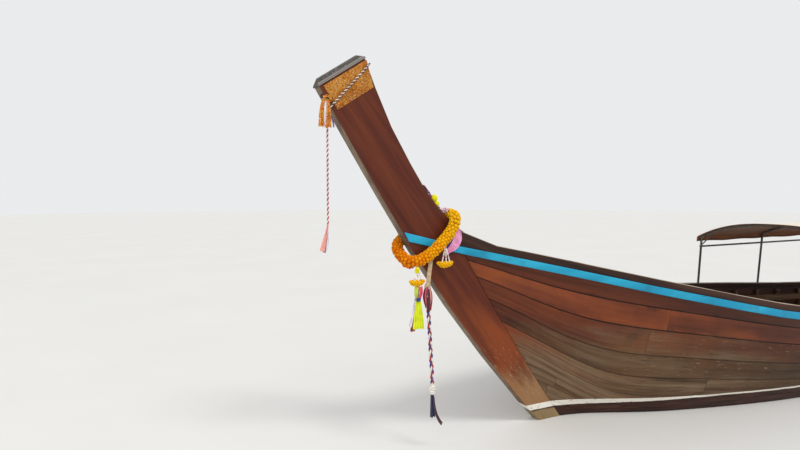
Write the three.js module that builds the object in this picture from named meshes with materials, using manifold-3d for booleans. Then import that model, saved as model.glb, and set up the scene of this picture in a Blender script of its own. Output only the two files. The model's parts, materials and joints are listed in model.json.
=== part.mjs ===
// Longtail boat: a wooden plank-built boat with a tall raked prow, a cloth canopy and an
// engine on a swivelling post that drives a propeller on a long tail tube.
// Millimetres. The origin is on the waterline, amidships on the centreline.
// +X is forward, +Y is port, +Z is up.

import * as THREE from 'three';
import { mergeVertices } from 'three/addons/utils/BufferGeometryUtils.js';
import Module from 'manifold-3d';

const wasm = await Module();
wasm.setup();

// Driving dimensions of the hull
const GAP = 0.3;
const PLANK = 28;
const STEM_HALF = 55;
const KEEL_DEPTH = 100;
const SECTIONS = 21;
const SEAM_HALF = 0.0045;
const SEAM_DEPTH = 5;
const SEAM_GAP = 0.0002;

// The stem's aft edge, where the planks end, and its leading edge, as x at height z
const rabbetX = (z) => 3968 + 0.759 * z - 4.9e-5 * z * z;
const leadingX = (z) => 4222 + 0.9366 * z - 7.95e-5 * z * z;

// Stations of the hull from the transom to the stem. x is where the top of the planks is,
// sheer is the top edge of the planks, keelZ the height where they land on the keel, and
// low and high pull the curve of the section between the two. follow says how far the
// station leans with the stem.
const STATIONS = [
  { x: -4150, sheerY: 660, sheerZ: 735, keelZ: -110, lowY: 560, lowZ: -100, highY: 640, highZ: 40, follow: -0.15 },
  { x: -3000, sheerY: 870, sheerZ: 655, keelZ: -190, lowY: 730, lowZ: -182, highY: 830, highZ: -20, follow: 0 },
  { x: -1500, sheerY: 1000, sheerZ: 678, keelZ: -230, lowY: 820, lowZ: -220, highY: 950, highZ: -50, follow: 0 },
  { x: 0, sheerY: 1035, sheerZ: 770, keelZ: -240, lowY: 850, lowZ: -230, highY: 985, highZ: -45, follow: 0 },
  { x: 1500, sheerY: 965, sheerZ: 890, keelZ: -230, lowY: 800, lowZ: -220, highY: 900, highZ: -50, follow: 0.08 },
  { x: 3000, sheerY: 740, sheerZ: 1176, keelZ: -215, lowY: 520, lowZ: -200, highY: 610, highZ: -15, follow: 0.35 },
  { x: 4200, sheerY: 415, sheerZ: 1443, keelZ: -200, lowY: 230, lowZ: -170, highY: 290, highZ: 50, follow: 0.75 },
  { x: 5081, sheerY: 55, sheerZ: 1640, keelZ: -185, lowY: 55, lowZ: 100, highY: 55, highZ: 900, follow: 1 },
];

const material = (colour, roughness, metalness = 0) => (
  new THREE.MeshStandardMaterial({ color: colour, roughness, metalness })
);
const FINISH = {
  varnish: material(0x7a3b22, 0.5),
  darkWood: material(0x3a2019, 0.55),
  bareWood: material(0x8a6a4a, 0.75),
  bottomPaint: material(0x3b1d17, 0.7),
  bluePaint: material(0x1f9fc4, 0.5),
  greyCap: material(0x3a3b3d, 0.6),
  steel: material(0x6c6a66, 0.5, 0.7),
  engineBlack: material(0x1d1d1f, 0.55, 0.4),
  aluminium: material(0x8d9092, 0.45, 0.8),
  bronze: material(0x9a7a3c, 0.35, 0.9),
  canvas: material(0xe9e2d2, 0.9),
  goldCloth: material(0xd88a2a, 0.8),
  marigold: material(0xf39a12, 0.85),
  pinkCloth: material(0xe58aa8, 0.85),
  yellowCloth: material(0xe8e32a, 0.85),
  whitePetal: material(0xf1eee4, 0.8),
  redCord: material(0xb8322f, 0.85),
  braidCord: material(0x8c3a5a, 0.85),
  bluePlastic: material(0x2b5f9a, 0.5),
};

const boat = new THREE.Group();

const v3 = (x, y, z) => new THREE.Vector3(x, y, z);

function addMesh(parent, name, geometry, finish) {
  const mesh = new THREE.Mesh(geometry, finish);
  mesh.name = name;
  parent.add(mesh);
  return mesh;
}

// A spline through evenly spaced values, read at u from 0 to the last index
function splineValue(values, u) {
  const last = values.length - 1;
  const i = Math.min(Math.floor(u), last - 1);
  const t = u - i;
  const p1 = values[i];
  const p2 = values[i + 1];
  const p0 = i > 0 ? values[i - 1] : 2 * p1 - p2;
  const p3 = i < last - 1 ? values[i + 2] : 2 * p2 - p1;
  const a = 2 * p1;
  const b = (p2 - p0) * t;
  const c = (2 * p0 - 5 * p1 + 4 * p2 - p3) * t * t;
  const d = (3 * p1 - p0 - 3 * p2 + p3) * t * t * t;
  return (a + b + c + d) / 2;
}

// The hull's section at s, which runs from 0 at the transom to 1 at the stem
function station(s) {
  const read = (column) => (
    splineValue(STATIONS.map((row) => row[column]), s * (STATIONS.length - 1))
  );
  return {
    x: read('x'), sheerY: read('sheerY'), sheerZ: read('sheerZ'), keelZ: read('keelZ'),
    lowY: read('lowY'), lowZ: read('lowZ'), highY: read('highY'), highZ: read('highZ'),
    follow: read('follow'),
  };
}

const stationX = (row, z) => row.x + row.follow * (rabbetX(z) - rabbetX(row.sheerZ));

// A point on the planks' outside at s along and g up the girth, moved inboard by depth
function hullPoint(s, g, depth = 0) {
  const row = station(s);
  const p = [[STEM_HALF, row.keelZ], [row.lowY, row.lowZ], [row.highY, row.highZ], [row.sheerY, row.sheerZ]];
  const k = 1 - g;
  const weight = [k * k * k, 3 * k * k * g, 3 * k * g * g, g * g * g];
  const slope = [-3 * k * k, 3 * k * k - 6 * k * g, 6 * k * g - 3 * g * g, 3 * g * g];
  const sum = (w, axis) => w.reduce((total, value, i) => total + value * p[i][axis], 0);
  const tangent = new THREE.Vector2(sum(slope, 0), sum(slope, 1)).normalize();
  const level = g > 0.999;
  const y = sum(weight, 0) - (level ? depth / tangent.y : depth * tangent.y);
  const z = sum(weight, 1) + (level ? 0 : depth * tangent.x);
  return v3(stationX(row, z), y, z);
}

// The girth where the planks' inside is at height z
function girthAt(s, z, depth) {
  let low = 0;
  let high = 1;
  for (let i = 0; i < 40; i += 1) {
    const middle = (low + high) / 2;
    if (hullPoint(s, middle, depth).z < z) low = middle;
    else high = middle;
  }
  return low;
}

// The place along the hull where the top of the planks is at x
function alongAt(x) {
  let low = 0;
  let high = 1;
  for (let i = 0; i < 40; i += 1) {
    const middle = (low + high) / 2;
    if (station(middle).x < x) low = middle;
    else high = middle;
  }
  return low;
}

function rangeOf(start, end, steps) {
  return Array.from({ length: steps + 1 }, (_, i) => start + ((end - start) * i) / steps);
}

// A closed solid through loops of equal length, each going round the same way. An end is
// closed by a ladder between its first and second half. The last strip is split the other
// way, so that the edges of neighbouring planks stay parallel.
function loftLoops(loops) {
  const n = loops[0].length;
  const positions = loops.flat().flatMap((p) => [p.x, p.y, p.z]);
  const index = [];
  for (let i = 0; i < loops.length - 1; i += 1) {
    for (let j = 0; j < n; j += 1) {
      const a = i * n + j;
      const b = i * n + ((j + 1) % n);
      if (j < n - 1) index.push(a, b, a + n, b, b + n, a + n);
      else index.push(a, b, b + n, a, b + n, a + n);
    }
  }
  const end = (loops.length - 1) * n;
  for (let j = 0; j < n / 2 - 1; j += 1) {
    const k = n - 1 - j;
    index.push(j, k, j + 1, j + 1, k, k - 1);
    index.push(end + j, end + j + 1, end + k, end + j + 1, end + k - 1, end + k);
  }
  const geometry = new THREE.BufferGeometry();
  geometry.setAttribute('position', new THREE.Float32BufferAttribute(positions, 3));
  geometry.setIndex(index);
  return outward(geometry);
}

function volumeOf(geometry) {
  const p = geometry.attributes.position;
  const index = geometry.index.array;
  const [a, b, c] = [v3(), v3(), v3()];
  let volume = 0;
  for (let i = 0; i < index.length; i += 3) {
    a.fromBufferAttribute(p, index[i]);
    b.fromBufferAttribute(p, index[i + 1]);
    c.fromBufferAttribute(p, index[i + 2]);
    volume += a.dot(b.cross(c));
  }
  return volume;
}

// Turns the faces round if the solid is inside out
function outward(geometry) {
  if (volumeOf(geometry) < 0) {
    const index = geometry.index.array;
    for (let i = 0; i < index.length; i += 3) {
      [index[i], index[i + 1]] = [index[i + 1], index[i]];
    }
  }
  return geometry;
}

function mirrored(geometry) {
  const copy = mergeVertices(bare(geometry));
  copy.scale(1, -1, 1);
  return outward(copy);
}

function bare(geometry) {
  const copy = geometry.clone();
  copy.deleteAttribute('normal');
  copy.deleteAttribute('uv');
  return copy;
}

function toSolid(geometry) {
  const merged = mergeVertices(bare(geometry), 1e-4);
  return new wasm.Manifold(new wasm.Mesh({
    numProp: 3,
    vertProperties: new Float32Array(merged.attributes.position.array),
    triVerts: new Uint32Array(merged.index.array),
  }));
}

function fromSolid(solid) {
  const mesh = solid.getMesh();
  const geometry = new THREE.BufferGeometry();
  geometry.setAttribute('position', new THREE.BufferAttribute(new Float32Array(mesh.vertProperties), 3));
  geometry.setIndex(new THREE.BufferAttribute(new Uint32Array(mesh.triVerts), 1));
  return geometry;
}

function fuse(...pieces) {
  return fromSolid(pieces.map(toSolid).reduce((whole, piece) => whole.add(piece)));
}

function cut(geometry, ...tools) {
  return fromSolid(tools.map(toSolid).reduce((whole, tool) => whole.subtract(tool), toSolid(geometry)));
}

function box(x0, x1, y0, y1, z0, z1) {
  const geometry = new THREE.BoxGeometry(x1 - x0, y1 - y0, z1 - z0);
  return geometry.translate((x0 + x1) / 2, (y0 + y1) / 2, (z0 + z1) / 2);
}

// A round bar from one point to another
function rod(from, to, radius, sides = 12, endRadius = radius) {
  const axis = to.clone().sub(from);
  const geometry = new THREE.CylinderGeometry(endRadius, radius, axis.length(), sides);
  geometry.applyQuaternion(new THREE.Quaternion().setFromUnitVectors(v3(0, 1, 0), axis.clone().normalize()));
  const middle = from.clone().add(to).multiplyScalar(0.5);
  return geometry.translate(middle.x, middle.y, middle.z);
}

function roundSection(radius, sides) {
  const shape = new THREE.Shape();
  for (let i = 0; i < sides; i += 1) {
    const a = (2 * Math.PI * i) / sides;
    const place = [radius * Math.cos(a), radius * Math.sin(a)];
    if (i === 0) shape.moveTo(...place);
    else shape.lineTo(...place);
  }
  shape.closePath();
  return shape;
}

// A tube along a smooth curve through the points
function tubeAlong(points, radius, steps, sides = 10) {
  const path = new THREE.CatmullRomCurve3(points, false, 'centripetal');
  const tube = new THREE.ExtrudeGeometry(roundSection(radius, sides), {
    extrudePath: path, steps, bevelEnabled: false,
  });
  return outward(mergeVertices(bare(tube)));
}

// A plate with an outline in the boat's X and Z, standing on the centreline
function uprightPlate(outline, halfWidth) {
  const shape = new THREE.Shape(outline.map(([x, z]) => new THREE.Vector2(x, z)));
  const geometry = new THREE.ExtrudeGeometry(shape, { depth: 2 * halfWidth, bevelEnabled: false });
  geometry.rotateX(Math.PI / 2);
  return geometry.translate(0, halfWidth, 0);
}

const STEPS = rangeOf(0, 1, SECTIONS);

// Planking. Each side has three bands of three strakes, with a groove at each seam.
const BANDS = [
  { name: 'bottom_planking', seams: [0, 0.14, 0.28, 0.41], finish: FINISH.bottomPaint },
  { name: 'side_planking', seams: [0.41, 0.5, 0.59, 0.695], finish: FINISH.bareWood },
  { name: 'upper_planking', seams: [0.695, 0.79, 0.88, 1], finish: FINISH.varnish },
];

function bandLoop(s, seams, depthInside = PLANK) {
  const outside = [];
  const inside = [];
  seams.forEach((seam, i) => {
    const first = i === 0;
    const final = i === seams.length - 1;
    if (first || final) {
      const shift = first ? SEAM_GAP : -SEAM_GAP;
      const g = seam === 0 || seam === 1 ? seam : seam + shift;
      outside.push(hullPoint(s, g));
      inside.push(hullPoint(s, g, depthInside));
    } else {
      [[-SEAM_HALF, 0], [0, SEAM_DEPTH], [SEAM_HALF, 0]].forEach(([offset, depth]) => {
        outside.push(hullPoint(s, seam + offset, depth));
        inside.push(hullPoint(s, seam + offset, depthInside));
      });
    }
    if (!final) {
      const middle = (seam + seams[i + 1]) / 2;
      outside.push(hullPoint(s, middle));
      inside.push(hullPoint(s, middle, depthInside));
    }
  });
  return [...outside, ...inside.reverse()];
}

// The whole planking of one side, thicker by the gap, which inside pieces are trimmed by
function allBandsLoop(s) {
  const halves = BANDS.map(({ seams }) => {
    const loop = bandLoop(s, seams, PLANK + GAP);
    const half = loop.length / 2;
    return { outside: loop.slice(0, half), inside: loop.slice(half).reverse() };
  });
  return [...halves.flatMap((h) => h.outside), ...halves.flatMap((h) => h.inside).reverse()];
}

const portPlanks = loftLoops(STEPS.map(allBandsLoop));
const starboardPlanks = mirrored(portPlanks);

const trimmed = (geometry) => cut(geometry, portPlanks, starboardPlanks);

function addPlanking() {
  BANDS.forEach(({ name, seams, finish }) => {
    const port = loftLoops(STEPS.map((s) => bandLoop(s, seams)));
    port.translate(-GAP, 0, 0);
    addMesh(boat, `${name}_port`, port, finish);
    addMesh(boat, `${name}_starboard`, mirrored(port), finish);
  });
}

// Backbone: keel, stem post with its foot, the inner stem, and the tall prow post
const FOOT_X = 3700;
const FOOT_Z = -300;
const JOINT_AFT = [rabbetX(1602), 1602];
const JOINT_FORE = [5604, 1735];
const PROW = {
  leading: [[5626, 1776], [5780, 2012], [5942, 2270], [6110, 2540], [6312, 2867]],
  aft: [[5946, 3103], [5858, 2890], [5722, 2600], [5556, 2322], [5430, 2130], [5310, 1980], [5178, 1846]],
};
const CAP_RISE = 55;

// Height of the planks' landing on the keel at x, along the same straight runs as the planks
function keelLevel(points, x) {
  const i = points.findIndex((p) => p.x > x);
  const [a, b] = [points[i - 1], points[i]];
  return a.z + ((x - a.x) * (b.z - a.z)) / (b.x - a.x);
}

function addBackbone() {
  const landing = STEPS.map((s) => hullPoint(s, 0));
  const top = (p) => [p.x, p.z - 2 * GAP];
  const footLevel = keelLevel(landing, FOOT_X) - 2 * GAP;
  const aftEnd = landing[0];
  const keelOutline = [
    ...landing.filter((p) => p.x < FOOT_X - 1).map(top),
    [FOOT_X - GAP, footLevel],
    [FOOT_X - GAP, FOOT_Z],
    [0, keelLevel(landing, 0) - KEEL_DEPTH],
    [aftEnd.x, aftEnd.z - KEEL_DEPTH * 0.6],
  ];
  addMesh(boat, 'keel', uprightPlate(keelOutline, STEM_HALF), FINISH.bottomPaint);

  const lastKeel = landing[landing.length - 1];
  const stemOutline = [
    [FOOT_X, footLevel],
    ...landing.filter((p) => p.x > FOOT_X + 1).map(top),
    ...rangeOf(lastKeel.z, JOINT_AFT[1], 24).map((z) => [rabbetX(z), z]),
    [JOINT_FORE[0], JOINT_FORE[1]],
    ...rangeOf(1600, FOOT_Z, 8).map((z) => [leadingX(z), z]),
    [FOOT_X, FOOT_Z],
  ];
  addMesh(boat, 'stem_post', uprightPlate(dropRepeats(stemOutline), STEM_HALF), FINISH.varnish);

  const innerLow = -150;
  const innerHigh = 1560;
  const innerDepth = 120;
  const heights = rangeOf(innerLow, innerHigh, 8);
  const innerOutline = [
    ...heights.map((z) => [rabbetX(z) - 3 * GAP, z]),
    ...heights.slice().reverse().map((z) => [rabbetX(z) - innerDepth, z]),
  ];
  addMesh(boat, 'inner_stem', uprightPlate(innerOutline, STEM_HALF - PLANK - GAP), FINISH.darkWood);

  const toe = [[5040, 1752], [4948, 1700], [4940, 1650], [5084, 1650], [5083, 1641]];
  const prowOutline = [
    [JOINT_AFT[0], JOINT_AFT[1] + GAP],
    [JOINT_FORE[0], JOINT_FORE[1] + GAP],
    ...PROW.leading,
    ...PROW.aft,
    ...toe,
  ];
  addMesh(boat, 'prow_post', uprightPlate(prowOutline, STEM_HALF), FINISH.varnish);
}

function dropRepeats(outline) {
  return outline.filter(([x, z], i) => {
    const [px, pz] = outline[(i + outline.length - 1) % outline.length];
    return Math.hypot(x - px, z - pz) > 1;
  });
}

// Frame at the prow's head: along the cut, and outward from it
function headFrame() {
  const [fx, fz] = PROW.leading[PROW.leading.length - 1];
  const [ax, az] = PROW.aft[0];
  const along = new THREE.Vector2(ax - fx, az - fz);
  const width = along.length();
  along.normalize();
  return { fore: new THREE.Vector2(fx, fz), along, out: new THREE.Vector2(along.y, -along.x).negate(), width };
}

function addHead() {
  const { fore, along, out, width } = headFrame();
  const outwardSide = out.y > 0 ? out : out.clone().negate();
  const place = (a, up, y) => {
    const p = fore.clone().addScaledVector(along, a).addScaledVector(outwardSide, up);
    return v3(p.x, y, p.y);
  };
  // The cap is a low hipped block: a base slab with a ridge along the cut
  const over = 6;
  const slab = 14;
  const ring = (inset, up, half) => [
    place(-over + inset, up, half), place(width + over - inset, up, half),
    place(width + over - inset, up, -half), place(-over + inset, up, -half),
  ];
  const cap = loftLoops([
    ring(0, GAP, STEM_HALF + over),
    ring(0, slab, STEM_HALF + over),
    ring(40, CAP_RISE, 14),
  ]);
  addMesh(boat, 'prow_head_cap', cap, FINISH.greyCap);

  // Patterned cloth wrapped round the post just below the cap, with the front left bare
  const clothDepth = 215;
  const clothThick = 4;
  const bareFront = 30;
  const bandLow = -clothDepth;
  const bandHigh = -12;
  const outer = [
    place(bareFront, bandLow, 0), place(width - 60 + clothThick, bandLow, 0),
    place(width + clothThick, bandHigh, 0), place(bareFront, bandHigh, 0),
  ].map((p) => [p.x, p.z]);
  const outside = uprightPlate(outer, STEM_HALF + clothThick);
  const clearance = uprightPlate(prowSideOutline(), STEM_HALF + GAP);
  addMesh(boat, 'prow_cloth_band', cut(outside, clearance), FINISH.goldCloth);
}

// The prow post's outline grown by the gap, for pieces that wrap round it
function prowSideOutline() {
  const grow = (points, dx) => points.map(([x, z]) => [x + dx, z]);
  return [[JOINT_AFT[0] - GAP, 1500], [5500, 1500], ...grow(PROW.leading, GAP * 1.4), [6400, 3010],
    [6034, 3246], ...grow(PROW.aft, -GAP * 1.4)];
}

// Rails: the gunwale on top of the planks, and the painted rub rail under it
const GUNWALE = { height: 65, outside: 9, inside: 58, bevel: 6 };
const RUB = { height: 74, thick: 14 };
const BOW_RISE = [
  { x: 5110, y: 55.5, low: 1650, high: 1792, half: 9 },
  { x: 5172, y: 55.5, low: 1700, high: 1838, half: 9 },
];

function gunwaleLoop(s) {
  const row = station(s);
  const outer = Math.max(row.sheerY + GUNWALE.outside, STEM_HALF + GAP + 14);
  const inner = Math.max(row.sheerY - GUNWALE.inside, STEM_HALF + GAP);
  const base = row.sheerZ + GAP;
  const near = THREE.MathUtils.smoothstep(row.x, 4800, 5081);
  const top = base + GUNWALE.height + 60 * near * near;
  const b = GUNWALE.bevel;
  return [
    v3(row.x, outer, base), v3(row.x, outer, top - b), v3(row.x, outer - b, top),
    v3(row.x, inner + b, top), v3(row.x, inner, top - b), v3(row.x, inner, base),
  ];
}

function addRails() {
  const loops = STEPS.map(gunwaleLoop);
  BOW_RISE.forEach(({ x, low, high }) => {
    const inner = STEM_HALF + GAP;
    const outer = inner + 14;
    const b = GUNWALE.bevel;
    loops.push([
      v3(x, outer, low), v3(x, outer, high - b), v3(x, outer - b, high),
      v3(x, inner + b, high), v3(x, inner, high - b), v3(x, inner, low),
    ]);
  });
  const port = loftLoops(loops);
  addMesh(boat, 'gunwale_port', port, FINISH.darkWood);
  addMesh(boat, 'gunwale_starboard', mirrored(port), FINISH.darkWood);

  const rub = STEPS.map((s) => {
    const row = station(s);
    const high = row.sheerZ - 1;
    const low = high - RUB.height;
    const yHigh = hullPoint(s, girthAt(s, high, 0)).y + 3 * GAP;
    const yLow = hullPoint(s, girthAt(s, low, 0)).y + 3 * GAP;
    return [
      v3(stationX(row, low), yLow, low), v3(stationX(row, low), yLow + RUB.thick, low + 3),
      v3(stationX(row, high), yHigh + RUB.thick, high - 3), v3(stationX(row, high), yHigh, high),
    ];
  });
  // It runs on over the stem's side to the leading edge, climbing as it goes
  const inner = STEM_HALF + 3 * GAP;
  const foreEnd = { lowX: 5569, lowZ: 1693, highX: 5614, highZ: 1774 };
  rub.push([
    v3(foreEnd.lowX, inner, foreEnd.lowZ), v3(foreEnd.lowX, inner + RUB.thick, foreEnd.lowZ + 3),
    v3(foreEnd.highX, inner + RUB.thick, foreEnd.highZ - 3), v3(foreEnd.highX, inner, foreEnd.highZ),
  ]);
  const rubPort = loftLoops(rub);
  addMesh(boat, 'rub_rail_port', rubPort, FINISH.bluePaint);
  addMesh(boat, 'rub_rail_starboard', mirrored(rubPort), FINISH.bluePaint);
}

// Transom: a raked board over the ends of the planks
function addTransom() {
  const thick = 42;
  const girths = rangeOf(0, 1, 10);
  const rim = girths.map((g) => hullPoint(0, g));
  const face = (offset) => [
    ...rim.map((p) => v3(p.x + offset, p.y + 4, p.z)),
    ...rim.slice().reverse().map((p) => v3(p.x + offset, -p.y - 4, p.z)),
  ];
  const aft = -GAP * 2;
  addMesh(boat, 'transom', loftLoops([face(aft - thick), face(aft)]), FINISH.darkWood);
}

// Frames: ribs against the planks from the floor to the gunwale, joined by two stringers
const INTO_PLANK = 12;
const RIB = { pitch: 470, first: -2950, count: 13, thick: 38, half: 20, clear: 0.8 };
const RIB_GIRTHS = [0.5, 0.59, 0.695, 0.79, 0.88, 0.94, 0.985];
const STRINGERS = [{ g: 0.93, high: 34 }, { g: 0.715, high: 30 }];

// A point on the straight-sided run of the planks between two sections
function facetPoint(s, g, depth) {
  const u = Math.min(s * SECTIONS, SECTIONS - 1e-6);
  const i = Math.floor(u);
  return hullPoint(STEPS[i], g, depth).lerp(hullPoint(STEPS[i + 1], g, depth), u - i);
}

function ribGeometry(x) {
  const loops = [x - RIB.half, x + RIB.half].map((rx) => {
    const s = alongAt(rx);
    const outside = RIB_GIRTHS.map((g) => facetPoint(s, g, PLANK + RIB.clear));
    const inside = RIB_GIRTHS.map((g) => facetPoint(s, g, PLANK + RIB.thick));
    return [...outside, ...inside.reverse()];
  });
  return loftLoops(loops);
}

// The stringer's section at s: two corners below and two above, against the ribs' inside
function stringerLoop(s, { g, high }) {
  const row = station(s);
  const rise = high / (1.8 * (row.sheerZ - row.keelZ));
  const near = PLANK + RIB.thick - 6;
  const far = near + 30;
  return [
    hullPoint(s, g - rise, near), hullPoint(s, g + rise, near),
    hullPoint(s, g + rise, far), hullPoint(s, g - rise, far),
  ];
}

function stringerGeometry(row, from, to) {
  return loftLoops(rangeOf(alongAt(from), alongAt(to), 12).map((s) => stringerLoop(s, row)));
}

function addFrames() {
  const places = Array.from({ length: RIB.count }, (_, i) => RIB.first + i * RIB.pitch);
  const ends = [places[0] - RIB.half, places[RIB.count - 1] + RIB.half];
  const ribs = places.map(ribGeometry);
  const stringers = STRINGERS.map((row) => stringerGeometry(row, ...ends));
  const port = fuse(...stringers, ...ribs);
  addMesh(boat, 'frames_port', port, FINISH.bareWood);
  addMesh(boat, 'frames_starboard', mirrored(port), FINISH.bareWood);
}

// A flat board across the hull between x values, its edges against the planks' inside
function boardAcross(from, to, lowZ, highZ, steps) {
  const depth = PLANK - INTO_PLANK;
  const loops = rangeOf(alongAt(from), alongAt(to), steps).map((s) => {
    const edge = (z) => hullPoint(s, girthAt(s, z, depth), depth).y;
    const row = station(s);
    const [low, high] = [edge(lowZ), edge(highZ)];
    const [xl, xh] = [stationX(row, lowZ), stationX(row, highZ)];
    return [v3(xl, low, lowZ), v3(xh, high, highZ), v3(xh, -high, highZ), v3(xl, -low, lowZ)];
  });
  return trimmed(loftLoops(loops));
}

// A deck that follows the sheer, its edges against the planks' inside
function deckAcross(from, to, highG, lowG, steps) {
  const loops = rangeOf(alongAt(from), alongAt(to), steps).map((s) => {
    const high = hullPoint(s, highG, PLANK - INTO_PLANK);
    const low = hullPoint(s, lowG, PLANK - INTO_PLANK);
    return [low, high, v3(high.x, -high.y, high.z), v3(low.x, -low.y, low.z)];
  });
  return trimmed(loftLoops(loops));
}

const FLOOR = { from: -3450, to: 2750, low: -56, high: -30 };
const BENCHES = [
  { name: 'bench_fore', x: 2455 }, { name: 'bench_second', x: 1515 },
  { name: 'bench_third', x: 575 }, { name: 'bench_fourth', x: -365 },
  { name: 'bench_aft', x: -1305 },
];
const BENCH = { half: 130, thick: 32 };

// A bench rests on the lower stringers, between two ribs
function benchGeometry(x) {
  const ends = [x - BENCH.half, x + BENCH.half].flatMap((bx) => (
    stringerLoop(alongAt(bx), STRINGERS[1]).map((p) => p.z)
  ));
  const low = Math.max(...ends) + 5 * GAP;
  return boardAcross(x - BENCH.half, x + BENCH.half, low, low + BENCH.thick, 1);
}

function addDecks() {
  addMesh(boat, 'floorboards', boardAcross(FLOOR.from, FLOOR.to, FLOOR.low, FLOOR.high, 14), FINISH.bareWood);
  addMesh(boat, 'bow_deck', deckAcross(3120, 4800, 0.955, 0.935, 6), FINISH.bareWood);
  addMesh(boat, 'stern_deck', deckAcross(-4140, -3050, 0.93, 0.895, 4), FINISH.bareWood);
  BENCHES.forEach(({ name, x }) => addMesh(boat, name, benchGeometry(x), FINISH.bareWood));
}

// Canopy: posts on the gunwales, side rails, bent roof bows and a stretched cloth
const CANOPY = {
  posts: [650, -650, -1950], y: 960, rail: 1370, eave: 1488, crown: 1690, pipe: 14,
  over: 190, cloth: 7, drop: 70,
};

function postFoot(x) {
  const edges = [x - CANOPY.pipe, x + CANOPY.pipe].map((px) => facetPoint(alongAt(px), 1, 0));
  const high = Math.max(...edges.map((p) => p.z));
  return { y: edges[0].y - GUNWALE.inside / 2 + 4, z: high + GAP + GUNWALE.height + 2 * GAP };
}

function canopySide() {
  const pieces = CANOPY.posts.map((x) => {
    const foot = postFoot(x);
    return rod(v3(x, foot.y, foot.z), v3(x, CANOPY.y, CANOPY.eave - 4), CANOPY.pipe, 10);
  });
  const [fore, aft] = [CANOPY.posts[0] + 20, CANOPY.posts[CANOPY.posts.length - 1] - 20];
  pieces.push(rod(v3(fore, CANOPY.y + 6, CANOPY.rail), v3(aft, CANOPY.y + 6, CANOPY.rail), CANOPY.pipe - 2, 10));
  return cut(fuse(...pieces), ...CANOPY.posts.map((x) => roofBow(x, CANOPY.pipe + GAP)));
}

// Height of the roof at y, a flat crown falling to the eaves
function roofZ(y, raise) {
  const t = Math.min(1, Math.abs(y) / (CANOPY.y + 10));
  return CANOPY.crown - (CANOPY.crown - CANOPY.eave) * Math.pow(t, 2.6) + raise;
}

function roofBow(x, radius) {
  const points = rangeOf(-CANOPY.y, CANOPY.y, 12).map((y) => v3(x, y, roofZ(y, 0)));
  return tubeAlong(points, radius, 14, 8);
}

function addCanopy() {
  const port = canopySide();
  addMesh(boat, 'canopy_side_port', port, FINISH.steel);
  addMesh(boat, 'canopy_side_starboard', mirrored(port), FINISH.steel);
  CANOPY.posts.forEach((x, i) => addMesh(boat, `canopy_bow_${i + 1}`, roofBow(x, CANOPY.pipe), FINISH.steel));

  const width = CANOPY.y + 24;
  const under = CANOPY.pipe + 1.7;
  const ys = rangeOf(-width, width, 14);
  const fore = CANOPY.posts[0] + 60;
  const aft = CANOPY.posts[CANOPY.posts.length - 1] - CANOPY.over;
  const profile = (x, raise) => [
    v3(x, -width - raise, CANOPY.eave - CANOPY.drop),
    ...ys.map((y) => v3(x, y * (1 + raise / width), roofZ(y, under + raise))),
    v3(x, width + raise, CANOPY.eave - CANOPY.drop),
  ];
  const loops = [aft, fore].map((x) => [...profile(x, 0), ...profile(x, CANOPY.cloth).reverse()]);
  addMesh(boat, 'canopy_cover', loftLoops(loops), FINISH.canvas);
}

// Engine, tail and propeller. The swivel axis is upright at the post and the tilt axis
// crosses it. Tilting sizes are in the engine's own frame with the tilt axis at its origin.
const POST = { x: -3800, top: 1010, radius: 45 };
const TILT_Z = 1130;
const TAIL_DROOP = THREE.MathUtils.degToRad(2.5);
const FORK = { inside: 118, thick: 14, pin: 18.7, hole: 19 };
const TAIL = { radius: 36, from: -300, startZ: 96, to: -3420, endZ: -60 };

function addEnginePost() {
  const s = alongAt(POST.x);
  const deck = hullPoint(s, 0.93, PLANK + GAP).z;
  const beamTop = deck + 115;
  const beam = box(POST.x - 90, POST.x + 90, -520, 520, deck + 8, beamTop);
  addMesh(boat, 'engine_beam', beam, FINISH.darkWood);
  const plate = box(POST.x - 85, POST.x + 85, -110, 110, beamTop + GAP, beamTop + 14);
  const tube = rod(v3(POST.x, 0, beamTop + 6), v3(POST.x, 0, POST.top), POST.radius, 16);
  addMesh(boat, 'engine_post', fuse(plate, tube), FINISH.steel);
}

function addSwivelFork(parent) {
  const base = POST.top - TILT_Z + GAP;
  const disc = rod(v3(0, 0, base), v3(0, 0, base + 20), 80, 20);
  const saddle = box(-45, 45, -FORK.inside - FORK.thick, FORK.inside + FORK.thick, base + 14, base + 28);
  const cheeks = [-1, 1].map((side) => {
    const near = side * FORK.inside;
    const far = side * (FORK.inside + FORK.thick);
    return box(-45, 45, Math.min(near, far), Math.max(near, far), base + 14, 40);
  });
  const whole = fuse(disc, saddle, ...cheeks);
  const hole = rod(v3(0, -200, 0), v3(0, 200, 0), FORK.hole, 20);
  addMesh(parent, 'swivel_fork', cut(whole, hole), FINISH.steel);
}

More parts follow.
